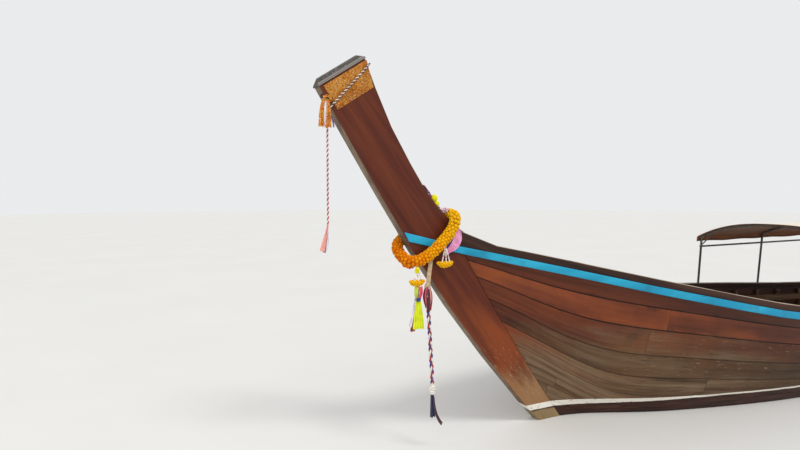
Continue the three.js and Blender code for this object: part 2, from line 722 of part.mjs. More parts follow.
function addEngine(parent) {
  const railHalf = 15;
  const rails = [-1, 1].map((side) => box(-330, 860, side * 92 - railHalf, side * 92 + railHalf, -28, 22));
  const cross = [-310, 840].map((x) => box(x - 20, x + 20, -92, 92, -28, 22));
  const trunnion = rod(v3(0, -FORK.inside - 20, 0), v3(0, FORK.inside + 20, 0), FORK.pin, 20);
  addMesh(parent, 'engine_cradle', fuse(...rails, ...cross, trunnion), FINISH.steel);

  const sump = box(320, 760, -72, 72, -70, 30);
  const block = box(270, 800, -118, 118, 23, 250);
  const ribbed = [350, 450, 550, 650, 750].map((x) => box(x - 8, x + 8, -126, 126, 60, 230));
  addMesh(parent, 'engine_block', fuse(block, sump, ...ribbed), FINISH.engineBlack);
  const head = box(285, 785, -95, 95, 250 + GAP, 330);
  const cover = box(305, 765, -62, 62, 320, 385);
  const filler = rod(v3(700, 0, 380), v3(700, 0, 402), 26, 14);
  addMesh(parent, 'cylinder_head', fuse(head, cover, filler), FINISH.aluminium);

  const bell = rod(v3(60, 0, 100), v3(270 - GAP, 0, 100), 105, 20, 150);
  const flatBase = box(-200, 300, -76, 76, 23, 60);
  const gear = box(-230, 70, -74, 74, 26, 175);
  addMesh(parent, 'gearbox', cut(fuse(bell, gear, flatBase), box(-400, 400, -300, 300, -200, 23),
    box(270 - GAP, 500, -300, 300, -200, 400)), FINISH.aluminium);

  const exhaustRun = [v3(715, 165, 290), v3(520, 165, 290), v3(330, 165, 300), v3(180, 165, 340), v3(20, 165, 400)];
  const ports = [360, 470, 580, 690].map((x) => rod(v3(x, 95 + GAP, 290), v3(x, 165, 290), 19, 8));
  const muffler = rod(v3(40, 165, 392), v3(-330, 165, 560), 52, 16);
  addMesh(parent, 'exhaust', fuse(tubeAlong(exhaustRun, 26, 10, 10), ...ports, muffler), FINISH.engineBlack);

  const airPort = [430, 620].map((x) => rod(v3(x, -95 - GAP, 300), v3(x, -185, 300), 24, 12));
  const airBody = rod(v3(360, -185, 340), v3(690, -185, 340), 62, 18);
  addMesh(parent, 'air_cleaner', fuse(...airPort, airBody), FINISH.engineBlack);

  const pulleyX = 800 + GAP;
  const crankPulley = rod(v3(pulleyX, 0, 95), v3(pulleyX + 46, 0, 95), 68, 24);
  const fanPulley = rod(v3(pulleyX, 0, 240), v3(pulleyX + 46, 0, 240), 55, 20);
  const belt = box(pulleyX + 14, pulleyX + 32, -60, 60, 95, 250);
  addMesh(parent, 'belt_pulleys', fuse(crankPulley, fanPulley, belt), FINISH.steel);

  const alternator = rod(v3(600, 196, 95), v3(770, 196, 95), 62, 18);
  const bracket = box(640, 700, 126 + GAP, 170, 70, 120);
  addMesh(parent, 'alternator', fuse(alternator, bracket), FINISH.aluminium);

  const tillerRun = [v3(866, 0, 0), v3(1000, 0, 50), v3(1180, 0, 150), v3(1420, 0, 198)];
  const flange = box(860 + GAP, 872, -40, 40, -28, 22);
  const grip = rod(v3(1370, 0, 188), v3(1540, 0, 222), 22, 14);
  const tube = tubeAlong(tillerRun, 16, 14, 10);
  addMesh(parent, 'tiller', fuse(flange, tube, grip), FINISH.steel);
}

function addTail(parent) {
  const bearing = rod(v3(-230 - GAP, 0, 100), v3(-330, 0, 100), 64, 18, 46);
  const tube = rod(v3(TAIL.from, 0, TAIL.startZ), v3(TAIL.to, 0, TAIL.endZ), TAIL.radius, 14);
  addMesh(parent, 'tail_tube', fuse(bearing, tube), FINISH.engineBlack);

  // Fin and strut clamped under the tube ahead of the propeller
  const axisZ = (x) => TAIL.startZ + ((x - TAIL.from) * (TAIL.endZ - TAIL.startZ)) / (TAIL.to - TAIL.from);
  const outline = [
    [-2980, axisZ(-2980) - 42], [-3400, axisZ(-3400) - 42], [-3420, axisZ(-3400) - 300], [-3330, axisZ(-3400) - 330],
  ];
  const fin = uprightPlate(outline, 5);
  const clampRing = (x) => rod(v3(x - 22, 0, axisZ(x - 22)), v3(x + 22, 0, axisZ(x + 22)), TAIL.radius + 12, 16);
  const bore = rod(v3(-2000, 0, axisZ(-2000)), v3(-3500, 0, axisZ(-3500)), TAIL.radius + GAP, 14);
  const rings = [clampRing(-3010), clampRing(-3370)];
  addMesh(parent, 'tail_fin', cut(fuse(fin, ...rings), bore), FINISH.steel);
}

function bladeGeometry(turn, radius) {
  const loops = rangeOf(24, radius, 5).map((r, i) => {
    const chord = [52, 84, 104, 104, 84, 36][i];
    const pitch = THREE.MathUtils.degToRad([62, 50, 40, 33, 28, 25][i]);
    const thick = [9, 8, 6.5, 5, 4, 3][i];
    const corner = (c, t) => {
      const along = c * Math.sin(pitch) + t * Math.cos(pitch);
      const across = c * Math.cos(pitch) - t * Math.sin(pitch);
      return v3(along, across, r);
    };
    return [
      corner(-chord / 2, 0), corner(-chord / 6, thick / 2), corner(chord / 6, thick / 2),
      corner(chord / 2, 0), corner(chord / 6, -thick / 2), corner(-chord / 6, -thick / 2),
    ];
  });
  return loftLoops(loops.map((loop) => loop.map((p) => p.applyAxisAngle(v3(1, 0, 0), turn))));
}

const PROP = { radius: 165, hub: 34, length: 96, blades: 3, lead: 12 };

function addPropeller(parent) {
  const hub = rod(v3(-PROP.length / 2, 0, 0), v3(PROP.length / 2, 0, 0), PROP.hub - 8, 18, PROP.hub);
  const nut = rod(v3(-PROP.length / 2 - 44, 0, 0), v3(-PROP.length / 2 + 4, 0, 0), 13, 14, 22);
  const shaft = rod(v3(PROP.length / 2 - 4, 0, 0), v3(PROP.length / 2 + PROP.lead, 0, 0), 15, 14);
  const blades = Array.from({ length: PROP.blades }, (_, i) => (
    bladeGeometry((2 * Math.PI * i) / PROP.blades, PROP.radius)
  ));
  addMesh(parent, 'propeller', fuse(hub, nut, shaft, ...blades), FINISH.bronze);
}

function addDrive() {
  addEnginePost();
  const swivel = new THREE.Group();
  swivel.position.set(POST.x, 0, TILT_Z);
  boat.add(swivel);
  addSwivelFork(swivel);
  const tilt = new THREE.Group();
  tilt.rotation.y = -TAIL_DROOP;
  swivel.add(tilt);
  addEngine(tilt);
  addTail(tilt);
  const slope = Math.atan2(TAIL.startZ - TAIL.endZ, TAIL.from - TAIL.to);
  const ahead = PROP.length / 2 + PROP.lead + GAP;
  const propeller = new THREE.Group();
  propeller.position.set(TAIL.to - ahead * Math.cos(slope), 0, TAIL.endZ - ahead * Math.sin(slope));
  propeller.rotation.y = -slope;
  tilt.add(propeller);
  addPropeller(propeller);
}

function addFuelCan() {
  const low = FLOOR.high + GAP;
  const body = box(-3000, -2660, 330, 570, low, low + 380);
  const neck = rod(v3(-2720, 450, low + 370), v3(-2720, 450, low + 415), 30, 14);
  const handle = box(-2960, -2800, 438, 462, low + 372, low + 405);
  addMesh(boat, 'fuel_can', fuse(body, neck, handle), FINISH.bluePlastic);
}

// Trim round the prow: garland, flower chain, hangers, sash, ribbons and the cords' knots and tails
const GARLAND = {
  radius: 44,
  route: [
    [5152, 0.4, 1908], [5152, 62, 1896], [5176, 118, 1852], [5222, 120, 1766], [5307, 120, 1680],
    [5400, 120, 1602], [5495, 118, 1552], [5578, 78, 1540], [5612, 0, 1582], [5606, -80, 1645],
    [5545, -119.7, 1700], [5420, -119.7, 1762], [5290, -119.7, 1826], [5176, -118, 1872], [5152, -62, 1900],
    [5152, -0.4, 1908],
  ],
};
// Small flowers on a string up the prow's aft edge, with bigger heads here and there
const CHAIN = {
  radius: 17,
  route: [[5190, 0, 1900], [5229, 0, 1930], [5294, 0, 1996], [5353, 0, 2069], [5405, 0, 2134]],
  heads: [
    { x: 5195, y: 0, z: 1938, radius: 30 },
    { x: 5286, y: 0, z: 1996, radius: 25 },
    { x: 5308, y: 0, z: 2040, radius: 33 },
  ],
};
// Strings of buds that fan out from the garland down to a crescent of petals
const HANGERS = [
  { top: [5272, 120, 1690], foot: [5272, 120, 1504], half: 68 },
  { top: [5536, 105, 1530], foot: [5540, 136, 1372], half: 60 },
];
const PETALS = { deep: 24, high: 28 };

const SASH = [[5182, 1806], [5118, 1775], [5084, 1718], [5112, 1648], [5186, 1606], [5250, 1608], [5212, 1700]];
const TIE = {
  half: 20,
  thick: 4,
  route: [[5352, 57.4, 1606], [5366, 66, 1574], [5395, 100, 1510], [5436, 146, 1420], [5452, 160, 1372.6]],
};
const KNOTS = {
  head: { x: 6238.9, y: 44, z: 2710, radius: 20 },
  braid: { x: 5456, y: 160, z: 1346.3, radius: 26 },
};
const RIBBONS = { x: 5534, y: 140, top: 1343.7, waist: 1240, bottom: 1002, neck: 26, tie: 22, flare: 54 };
const TASSEL = {
  thick: 25,
  outline: [[6240, 2788], [6256, 2794], [6290, 2788], [6318, 2745], [6316, 2590], [6272, 2566], [6236, 2575],
    [6226, 2700]],
};
// The head cord's loose end, blown a little forward
const STREAMER = {
  y: 46,
  thick: 6,
  outline: [[6241, 1849.7], [6257, 1849.7], [6292, 1760], [6318, 1655], [6276, 1637], [6252, 1648], [6246, 1760]],
};
// The braid's lower knot and tails, as bars: from x, z and radius to x, z and radius
const BRAID_END = {
  y: 160,
  bars: [
    [5410, 500, 31, 5410, 552.7, 14],
    [5409, 436, 18, 5410, 502, 31],
    [5406, 268, 21, 5409, 440, 18],
    [5316, 202, 7, 5400, 310, 12],
  ],
};

function ball({ x, y, z, radius }) {
  return new THREE.SphereGeometry(radius, 12, 8).rotateX(Math.PI / 2).translate(x, y, z);
}

function sideOnly(outline, yLow, yHigh) {
  return uprightPlate(outline, (yHigh - yLow) / 2).translate(0, (yHigh + yLow) / 2, 0);
}

function hanger({ top, foot, half }) {
  const strings = rod(v3(...top), v3(...foot), 8, 10, PETALS.high);
  const petals = new THREE.SphereGeometry(1, 14, 8).rotateX(Math.PI / 2);
  return fuse(strings, petals.scale(half, PETALS.deep, PETALS.high).translate(...foot));
}

function garland() {
  const rope = tubeAlong(GARLAND.route.map((p) => v3(...p)), GARLAND.radius, 36, 8);
  const chain = tubeAlong(CHAIN.route.map((p) => v3(...p)), CHAIN.radius, 8, 8);
  return fuse(rope, chain, ...CHAIN.heads.map(ball), ...HANGERS.map(hanger));
}

// A flat strap whose sections are level, along a route down the boat's side
function strap({ half, thick, route }) {
  return loftLoops(route.map(([x, y, z]) => [
    v3(x - half, y - thick / 2, z), v3(x + half, y - thick / 2, z),
    v3(x + half, y + thick / 2, z), v3(x - half, y + thick / 2, z),
  ]));
}

function braidEnd() {
  const at = (x, z) => v3(x, BRAID_END.y, z);
  return fuse(...BRAID_END.bars.map(([x0, z0, r0, x1, z1, r1]) => rod(at(x0, z0), at(x1, z1), r0, 12, r1)));
}

function addTrim() {
  addMesh(boat, 'marigold_garland', garland(), FINISH.marigold);
  const side = STEM_HALF + 3 * GAP + RUB.thick;
  addMesh(boat, 'sash', sideOnly(SASH, side + GAP, side + 5), FINISH.pinkCloth);
  addMesh(boat, 'tie_cloth', strap(TIE), FINISH.canvas);
  addMesh(boat, 'head_knot', ball(KNOTS.head), FINISH.redCord);
  addMesh(boat, 'braid_knot', ball(KNOTS.braid), FINISH.whitePetal);
  const inside = STEM_HALF + GAP;
  const hollow = ball({ ...KNOTS.head, radius: KNOTS.head.radius + GAP });
  const tassel = cut(sideOnly(TASSEL.outline, inside, inside + TASSEL.thick), hollow);
  addMesh(boat, 'head_tassel', tassel, FINISH.goldCloth);
  const at = (z) => v3(RIBBONS.x, RIBBONS.y, z);
  const upper = rod(at(RIBBONS.waist - 2), at(RIBBONS.top), RIBBONS.tie, 12, RIBBONS.neck);
  const lower = rod(at(RIBBONS.bottom), at(RIBBONS.waist), RIBBONS.flare, 12, RIBBONS.tie);
  addMesh(boat, 'ribbon_bunch', fuse(upper, lower), FINISH.yellowCloth);
  const flat = STREAMER.thick / 2;
  const streamer = sideOnly(STREAMER.outline, STREAMER.y - flat, STREAMER.y + flat);
  addMesh(boat, 'head_cord_tail', streamer, FINISH.redCord);
  addMesh(boat, 'braid_tail', braidEnd(), FINISH.braidCord);
}

// Hanging cords, each a free length of twisted or plaited line: x, y, z down the route
const CORDS = [
  {
    name: 'head_cord', radius: 8, sides: 8, steps: 22, finish: FINISH.redCord,
    route: [
      [6240, 44, 2689.7], [6241, 44.4, 2662], [6245, 45.5, 2620], [6249, 46, 2560], [6249, 46, 2440],
      [6249, 46, 2320], [6249, 46, 2200], [6249, 46, 2080], [6249, 46, 1960], [6249, 46, 1850],
    ],
  },
  {
    name: 'bow_braid', radius: 17, sides: 8, steps: 14, finish: FINISH.braidCord,
    route: [
      [5456, 160, 1320], [5456, 160, 1280], [5453, 160, 1220], [5447, 160, 1120], [5440, 160, 1020],
      [5433, 160, 920], [5427, 160, 820], [5420, 160, 720], [5412, 160, 620], [5410, 160, 553.6],
    ],
  },
];

function addCords() {
  CORDS.forEach(({ name, radius, sides, steps, finish, route }) => {
    const points = route.map(([x, y, z]) => v3(x, y, z));
    addMesh(boat, name, tubeAlong(points, radius, steps, sides), finish);
  });
}

addPlanking();
addBackbone();
addHead();
addRails();
addTransom();
addFrames();
addDecks();
addCanopy();
addDrive();
addFuelCan();
addTrim();
addCords();

export default boat;
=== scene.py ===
# %% [markdown]
# # A longtail boat, dressed over its imported frame
# The frame holds the boat's timbers, engine and joints at their real sizes. This lesson adds what the eye
# looks for: smooth planks with varnish and wear, flowers, ribbons, plaited cords, cloth with folds, and the
# small parts of an open engine. The frame is loaded first.

import json
import math
import random
from collections import namedtuple

import bmesh
import bpy
from mathutils import Matrix, Vector

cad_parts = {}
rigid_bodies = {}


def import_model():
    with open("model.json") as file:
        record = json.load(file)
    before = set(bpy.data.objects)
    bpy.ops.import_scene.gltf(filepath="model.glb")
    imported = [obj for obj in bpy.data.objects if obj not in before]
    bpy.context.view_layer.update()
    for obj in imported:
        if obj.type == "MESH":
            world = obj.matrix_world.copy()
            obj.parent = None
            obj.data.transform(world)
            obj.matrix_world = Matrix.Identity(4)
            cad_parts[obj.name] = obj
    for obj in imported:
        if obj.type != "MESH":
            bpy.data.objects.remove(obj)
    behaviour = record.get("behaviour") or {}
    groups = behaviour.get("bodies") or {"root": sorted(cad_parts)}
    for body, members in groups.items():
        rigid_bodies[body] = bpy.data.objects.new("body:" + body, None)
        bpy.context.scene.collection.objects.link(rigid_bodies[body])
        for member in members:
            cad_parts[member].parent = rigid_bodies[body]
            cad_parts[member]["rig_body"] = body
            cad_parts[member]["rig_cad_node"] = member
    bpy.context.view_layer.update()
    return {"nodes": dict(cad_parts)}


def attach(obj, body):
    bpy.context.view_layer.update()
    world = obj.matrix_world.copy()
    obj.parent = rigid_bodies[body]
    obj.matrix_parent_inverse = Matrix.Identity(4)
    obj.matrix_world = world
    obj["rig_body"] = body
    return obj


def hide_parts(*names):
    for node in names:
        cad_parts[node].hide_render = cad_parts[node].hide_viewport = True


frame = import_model()

# %% [markdown]
# ## The camera
# The picture is seen from the beach, off the port bow, by someone standing with their
# eyes about 2.1 m above the water. A camera has a place, a direction and a lens. The
# direction is given as a heading in plan and a small pitch downwards, and turned into a
# rotation by tracking -Z, which is the way that a Blender camera looks. The Standard view
# shows the paint and the flowers as bright as they are.

# %% Place the camera
EYE = Vector((7.804, 4.284, 2.1))
HEADING = Vector((-0.454, -0.891, 0))
PITCH = math.radians(3.24)

lens = bpy.data.cameras.new("beach_view")
lens.lens = 27
lens.sensor_width = 36
lens.clip_end = 200
camera = bpy.data.objects.new("beach_view", lens)
bpy.context.scene.collection.objects.link(camera)
look = HEADING.normalized() * math.cos(PITCH) - Vector((0, 0, math.sin(PITCH)))
camera.matrix_world = Matrix.Translation(EYE) @ look.to_track_quat("-Z", "Y").to_matrix().to_4x4()
bpy.context.scene.camera = camera
bpy.context.scene.view_settings.view_transform = "Standard"
print("camera of", lens.lens, "mm, eyes", round(EYE.z, 2), "m above the water")

# %% [markdown]
# ## Operators need a clean selection
# Most operators act on whatever is selected. These helpers deselect everything, pick one
# object, and finish a piece: its modifiers are applied and its place goes into its mesh,
# so that the object itself stays at the origin, unturned and unscaled.

# %% Selection helpers


def pick(*objects):
    """Selects only these objects; the first is the active one."""
    bpy.ops.object.select_all(action="DESELECT")
    for each in objects:
        each.select_set(True)
    bpy.context.view_layer.objects.active = objects[0]


def settle(piece, name=None):
    """Applies the modifiers and puts the place into the mesh."""
    pick(piece)
    for modifier in list(piece.modifiers):
        bpy.ops.object.modifier_apply(modifier=modifier.name)
    bpy.ops.object.transform_apply(location=True, rotation=True, scale=True)
    if name:
        piece.name = name
        piece.data.name = name
    return piece


def wear(piece, *finishes):
    """Gives a piece its materials, the first being the one that all faces start with."""
    piece.data.materials.clear()
    for finish in finishes:
        piece.data.materials.append(finish)
    return piece


def fit(piece, body, slot, *nodes):
    """Lets a piece ride on a body and hides the nodes that it stands for; the slot is not used."""
    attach(piece, body)
    if nodes:
        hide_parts(*nodes)


def soften(piece, degrees):
    """Smooth shading, with edges kept where the faces turn sharply."""
    pick(piece)
    bpy.ops.object.shade_smooth_by_angle(angle=math.radians(degrees))
    return piece


def join(name, pieces):
    """One object from several."""
    pick(*pieces)
    bpy.ops.object.join()
    whole = pieces[0]
    whole.name = name
    whole.data.name = name
    return whole


def assemble(name, pieces, finish, degrees, body, slot):
    """Several parts that share a finish, joined into one piece that rides on a body."""
    whole = soften(wear(join(name, pieces), finish), degrees)
    fit(whole, body, slot)
    return whole


print("helpers to pick, settle, wear, fit, soften, join and assemble pieces")

# %% [markdown]
# ## Shader maths as plain expressions
# A material is a graph of nodes. Written one node at a time it is hard to read, so a
# small class wraps a socket and lets `a * b + 0.2` add the Math nodes. Colours are given
# as on a paint card and turned into linear light, because that is what shaders count in.

# %% Colours and wires


def rgb(code):
    """A colour given as on a paint card, '#rrggbb', as linear light."""
    parts = [int(code[i:i + 2], 16) / 255 for i in (1, 3, 5)]
    return tuple(c / 12.92 if c < 0.04045 else ((c + 0.055) / 1.055) ** 2.4 for c in parts) + (1,)


class Wire:
    """A number on its way through a material, which sums and products can be made with."""

    def __init__(self, finish, socket):
        self.finish = finish
        self.socket = socket

    def maths(self, operation, first, second):
        return self.finish.node("ShaderNodeMath", {"operation": operation}, {0: first, 1: second})

    def __add__(self, other):
        return self.maths("ADD", self, other)

    def __sub__(self, other):
        return self.maths("SUBTRACT", self, other)

    def __mul__(self, other):
        return self.maths("MULTIPLY", self, other)

    def __truediv__(self, other):
        return self.maths("DIVIDE", self, other)

    def __rsub__(self, other):
        return self.maths("SUBTRACT", other, self)

    __radd__ = __add__
    __rmul__ = __mul__


print("pure white is", rgb("#ffffff"))

# %% [markdown]
# ## A finish and the nodes that feed it
# `Finish` is one material. Its `node` method adds any node from its type, its settings and what goes into its
# sockets, and short methods name the nodes that are used again and again. A finish ends by feeding colour,
# roughness and sometimes metal to its shader, and a height to a Bump node.

# %% Materials from expressions


class Finish:
    """A material with its Principled shader, and the nodes that feed it."""

    def __init__(self, name, **constants):
        self.material = bpy.data.materials.new(name)
        self.material.use_nodes = True
        self.tree = self.material.node_tree
        self.shader = self.tree.nodes["Principled BSDF"]
        for key, value in constants.items():
            self.shader.inputs[key.replace("_", " ")].default_value = value

    def feed(self, value, socket):
        if isinstance(value, Wire):
            self.tree.links.new(value.socket, socket)
        else:
            socket.default_value = value

    def node(self, kind, settings=None, inputs=None, output=0):
        made = self.tree.nodes.new(kind)
        for key, value in (settings or {}).items():
            if key == "stops":
                ramp = made.color_ramp
                while len(ramp.elements) < len(value):
                    ramp.elements.new(0.5)
                for element, (place, colour) in zip(ramp.elements, value):
                    element.position = place
                    element.color = colour
            else:
                setattr(made, key, value)
        for key, value in (inputs or {}).items():
            self.feed(value, made.inputs[key])
        return Wire(self, made.outputs[output])

    def place(self):
        return self.node("ShaderNodeTexCoord", output="Object")

    def layer(self, name):
        """The piece's own UV map, which follows its surface."""
        return self.node("ShaderNodeUVMap", {"uv_map": name})

    def tag(self, name):
        """A number kept on the mesh itself."""
        return self.node("ShaderNodeAttribute", {"attribute_name": name}, output="Fac")

    def part(self, vector, axis):
        return self.node("ShaderNodeSeparateXYZ", None, {0: vector}, output="XYZ".index(axis))

    def along(self, vector, direction):
        settings = {"operation": "DOT_PRODUCT"}
        return self.node("ShaderNodeVectorMath", settings, {0: vector, 1: direction}, output="Value")

    def vector(self, x, y, z=0.0):
        return self.node("ShaderNodeCombineXYZ", None, {0: x, 1: y, 2: z})

    def noise(self, vector, scale, detail, rough=0.55, warp=0.0):
        inputs = {"Vector": vector, "Scale": scale, "Detail": detail, "Roughness": rough,
                  "Distortion": warp}
        return self.node("ShaderNodeTexNoise", None, inputs)

    def cells(self, vector, scale, output):
        return self.node("ShaderNodeTexVoronoi", None, {"Vector": vector, "Scale": scale}, output)

    def chance(self, value):
        """A random number that stays the same wherever the value does."""
        return self.node("ShaderNodeTexWhiteNoise", {"noise_dimensions": "1D"}, {"W": value})

    def step(self, value, low, high, start=0.0, stop=1.0):
        """A smooth step from start to stop while the value goes from low to high."""
        inputs = {"Value": value, "From Min": low, "From Max": high, "To Min": start, "To Max": stop}
        return self.node("ShaderNodeMapRange", {"interpolation_type": "SMOOTHSTEP"}, inputs)

    def ramp(self, value, *stops):
        return self.node("ShaderNodeValToRGB", {"stops": stops}, {0: value})

    def mix(self, share, first, second, blend="MIX"):
        settings = {"data_type": "RGBA", "blend_type": blend, "clamp_factor": True}
        return self.node("ShaderNodeMix", settings, {0: share, 6: first, 7: second}, output=2)

    def shade(self, colour, amount):
        """A colour made lighter or darker by a number that changes over the surface."""
        grey = self.node("ShaderNodeCombineXYZ", None, {0: amount, 1: amount, 2: amount})
        return self.mix(1.0, colour, grey, "MULTIPLY")

    def fraction(self, value):
        return self.node("ShaderNodeMath", {"operation": "FRACT"}, {0: value})

    def floor(self, value):
        return self.node("ShaderNodeMath", {"operation": "FLOOR"}, {0: value})

    def size(self, value):
        """The number without its sign."""
        return self.node("ShaderNodeMath", {"operation": "ABSOLUTE"}, {0: value})

    def sine(self, value):
        return self.node("ShaderNodeMath", {"operation": "SINE"}, {0: value})

    def finish(self, colour, rough, height=None, depth=0.002, metal=None):
        """Feeds the shader, with a bump of a depth in metres, and gives the material."""
        self.feed(colour, self.shader.inputs["Base Color"])
        self.feed(rough, self.shader.inputs["Roughness"])
        if metal is not None:
            self.feed(metal, self.shader.inputs["Metallic"])
        if height is not None:
            bump = self.node("ShaderNodeBump", None, {"Height": height, "Distance": depth})
            self.feed(bump, self.shader.inputs["Normal"])
        return self.material


print("finishes are made from expressions")

# %% [markdown]
# ## The two hanging cords
# A cord is settled before anything else, because it has a real length and hangs where the frame says. The
# cord at the head of the prow is two strands twisted together, red and white. The one at the bow is plaited
# from three: red, white and violet. Their routes are lists of points, and a smooth curve runs through each.

# %% Routes of the cords
MM = 0.001
HEAD_ROUTE = [
    (6.240, 0.044, 2.6897), (6.241, 0.0444, 2.662), (6.245, 0.0455, 2.620), (6.249, 0.046, 2.560),
    (6.249, 0.046, 2.440), (6.249, 0.046, 2.320), (6.249, 0.046, 2.200), (6.249, 0.046, 2.080),
    (6.249, 0.046, 1.960), (6.249, 0.046, 1.850),
]
BRAID_ROUTE = [
    (5.456, 0.160, 1.320), (5.456, 0.160, 1.280), (5.453, 0.160, 1.220), (5.447, 0.160, 1.120),
    (5.440, 0.160, 1.020), (5.433, 0.160, 0.920), (5.427, 0.160, 0.820), (5.420, 0.160, 0.720),
    (5.412, 0.160, 0.620), (5.410, 0.160, 0.5536),
]


def smooth_route(points, spacing):
    """Points close together on a smooth curve through a listed route."""
    route = [Vector(p) for p in points]
    ends = [2 * route[0] - route[1], *route, 2 * route[-1] - route[-2]]
    line = []
    for a, b, c, d in zip(ends, ends[1:], ends[2:], ends[3:]):
        steps = max(1, round((c - b).length / spacing))
        for i in range(steps):
            t = i / steps
            line.append(0.5 * (2 * b + (c - a) * t + (2 * a - 5 * b + 4 * c - d) * t * t
                               + (3 * b - a - 3 * c + d) * t ** 3))
    return [*line, route[-1]]


def line_length(line):
    return sum((b - a).length for a, b in zip(line, line[1:]))


print("routes with", len(HEAD_ROUTE), "and", len(BRAID_ROUTE), "points")

# %% [markdown]
# ## A strand of yarn
# A cord could be one curve with a round bevel, but then its twist would be only a painted
# stripe. Here each strand is a thin tube that winds beside the cord's middle, so the twist
# is real shape. A tube keeps a UV map along its run, for finishes that need it, and the
# yarn is a woven finish with two tones.

# %% Tubes and strands
STRAND_SIDES = 8


def cross_frames(line):
    """Two directions across the line at each of its points, without twist."""
    frames = []
    side = Vector((0, 1, 0))
    for i in range(len(line)):
        ahead = (line[min(i + 1, len(line) - 1)] - line[max(i - 1, 0)]).normalized()
        side = (side - ahead * side.dot(ahead)).normalized()
        frames.append((side, ahead.cross(side)))
    return frames


def tube_mesh(name, line, radius, sides):
    """A closed tube along a line, with a UV map of its shares along and round."""
    mesh = bpy.data.meshes.new(name)
    points = []
    for p, (a, b) in zip(line, cross_frames(line)):
        for k in range(sides):
            turn = 2 * math.pi * k / sides
            points.append(p + a * (radius * math.cos(turn)) + b * (radius * math.sin(turn)))
    rows = len(line)
    faces = [
        (i * sides + k, i * sides + (k + 1) % sides, (i + 1) * sides + (k + 1) % sides, (i + 1) * sides + k)
        for i in range(rows - 1) for k in range(sides)
    ]
    faces.append(tuple(range(sides - 1, -1, -1)))
    faces.append(tuple((rows - 1) * sides + k for k in range(sides)))
    mesh.from_pydata([tuple(p) for p in points], [], faces)
    layer = mesh.uv_layers.new(name="run")
    for polygon in mesh.polygons:
        for loop in polygon.loop_indices:
            vertex = mesh.loops[loop].vertex_index
            row, k = divmod(vertex, sides)
            layer.data[loop].uv = (row / (rows - 1), k / sides)
    piece = bpy.data.objects.new(name, mesh)
    bpy.context.scene.collection.objects.link(piece)
    pick(piece)
    bpy.ops.object.mode_set(mode="EDIT")
    bpy.ops.mesh.select_all(action="SELECT")
    bpy.ops.mesh.normals_make_consistent(inside=False)
    bpy.ops.object.mode_set(mode="OBJECT")
    return piece


def strands(line, paths, radius):
    """Tubes that run beside a line, each at an offset that changes with the distance."""
    frames = cross_frames(line)
    away = [0.0]
    for a, b in zip(line, line[1:]):
        away.append(away[-1] + (b - a).length)
    tubes = []
    for i, path in enumerate(paths):
        route = [p + a * path(s)[0] + b * path(s)[1] for p, (a, b), s in zip(line, frames, away)]
        tubes.append(tube_mesh(f"strand_{i}", route, radius, STRAND_SIDES))
    return tubes


def cloth_finish(name, colour, other):
    """Woven yarn or cotton: threads across each other, and patches of a second colour."""
    weave = 900
    f = Finish(name, Sheen_Weight=0.3, Sheen_Roughness=0.5)
    place = f.place()
    x, y, z = (f.part(place, axis) for axis in "XYZ")
    threads = f.sine((x + y) * weave) * f.sine(z * weave)
    patch = f.noise(place, 14, 3)
    tone = f.mix(f.step(patch, 0.35, 0.65), rgb(colour), rgb(other))
    tone = f.shade(tone, 0.86 + 0.2 * patch + 0.06 * threads)
    return f.finish(tone, 0.85 + 0.08 * patch, threads * 0.5 + f.noise(place, 60, 3), 0.0006)


RED = cloth_finish("red_yarn", "#b5282c", "#8f1c24")
WHITE = cloth_finish("white_yarn", "#ece6dc", "#cfc6ba")
VIOLET = cloth_finish("violet_yarn", "#4b3a86", "#2f2560")
print("yarn in red, white and violet")

# %% [markdown]
# ## The cord at the head
# Two strands run round each other like a screw. On the boat the cord hangs straight down
# from its knot, so its length is that of its route.

# %% Twist the head cord
TWIST_PITCH = 0.036
HEAD_STRAND = 4.6 * MM
HEAD_TURN = 4.2 * MM
head_line = smooth_route(HEAD_ROUTE, 0.006)


def twist(start, pitch, radius):
    """An offset that goes round the line once in each pitch."""
    return lambda s: (radius * math.cos(2 * math.pi * s / pitch + start),
                      radius * math.sin(2 * math.pi * s / pitch + start))


def twisted(name, line, pitch, turn, radius, first, second):
    """Two strands of different yarn twisted together along a line."""
    pair = strands(line, [twist(0, pitch, turn), twist(math.pi, pitch, turn)], radius)
    wear(pair[0], first)
    wear(pair[1], second)
    return soften(join(name, pair), 60)


head_cord = twisted("head_cord_twist", head_line, TWIST_PITCH, HEAD_TURN, HEAD_STRAND, RED, WHITE)
fit(head_cord, "hull", "red_cord", "head_cord")
print("head cord", round(line_length(head_line), 3), "m")

# %% [markdown]
# ## The braid at the bow
# In a plait, each of three strands goes from side to side once and from front to back
# twice in the same distance, and the three are a third of that distance apart. Two sines
# say exactly that, so no strand has to be drawn by hand.

# %% Plait the bow braid
PLAIT_PITCH = 0.135
PLAIT_WIDE = 9.5 * MM
PLAIT_DEEP = 5.5 * MM
PLAIT_STRAND = 7.6 * MM
braid_line = smooth_route(BRAID_ROUTE, 0.0075)


def plait(start):
    """Side to side once, and front to back twice, in each pitch: the path of a plait."""
    def path(s):
        turn = 2 * math.pi * s / PLAIT_PITCH + start
        return PLAIT_DEEP * math.sin(2 * turn), PLAIT_WIDE * math.sin(turn)
    return path


braid_strands = strands(braid_line, [plait(2 * math.pi * i / 3) for i in range(3)], PLAIT_STRAND)
for strand, yarn in zip(braid_strands, (RED, WHITE, VIOLET)):
    wear(strand, yarn)
bow_braid = soften(join("bow_braid_plait", braid_strands), 60)
fit(bow_braid, "hull", "plait", "bow_braid")
print("bow braid", round(line_length(braid_line), 3), "m")

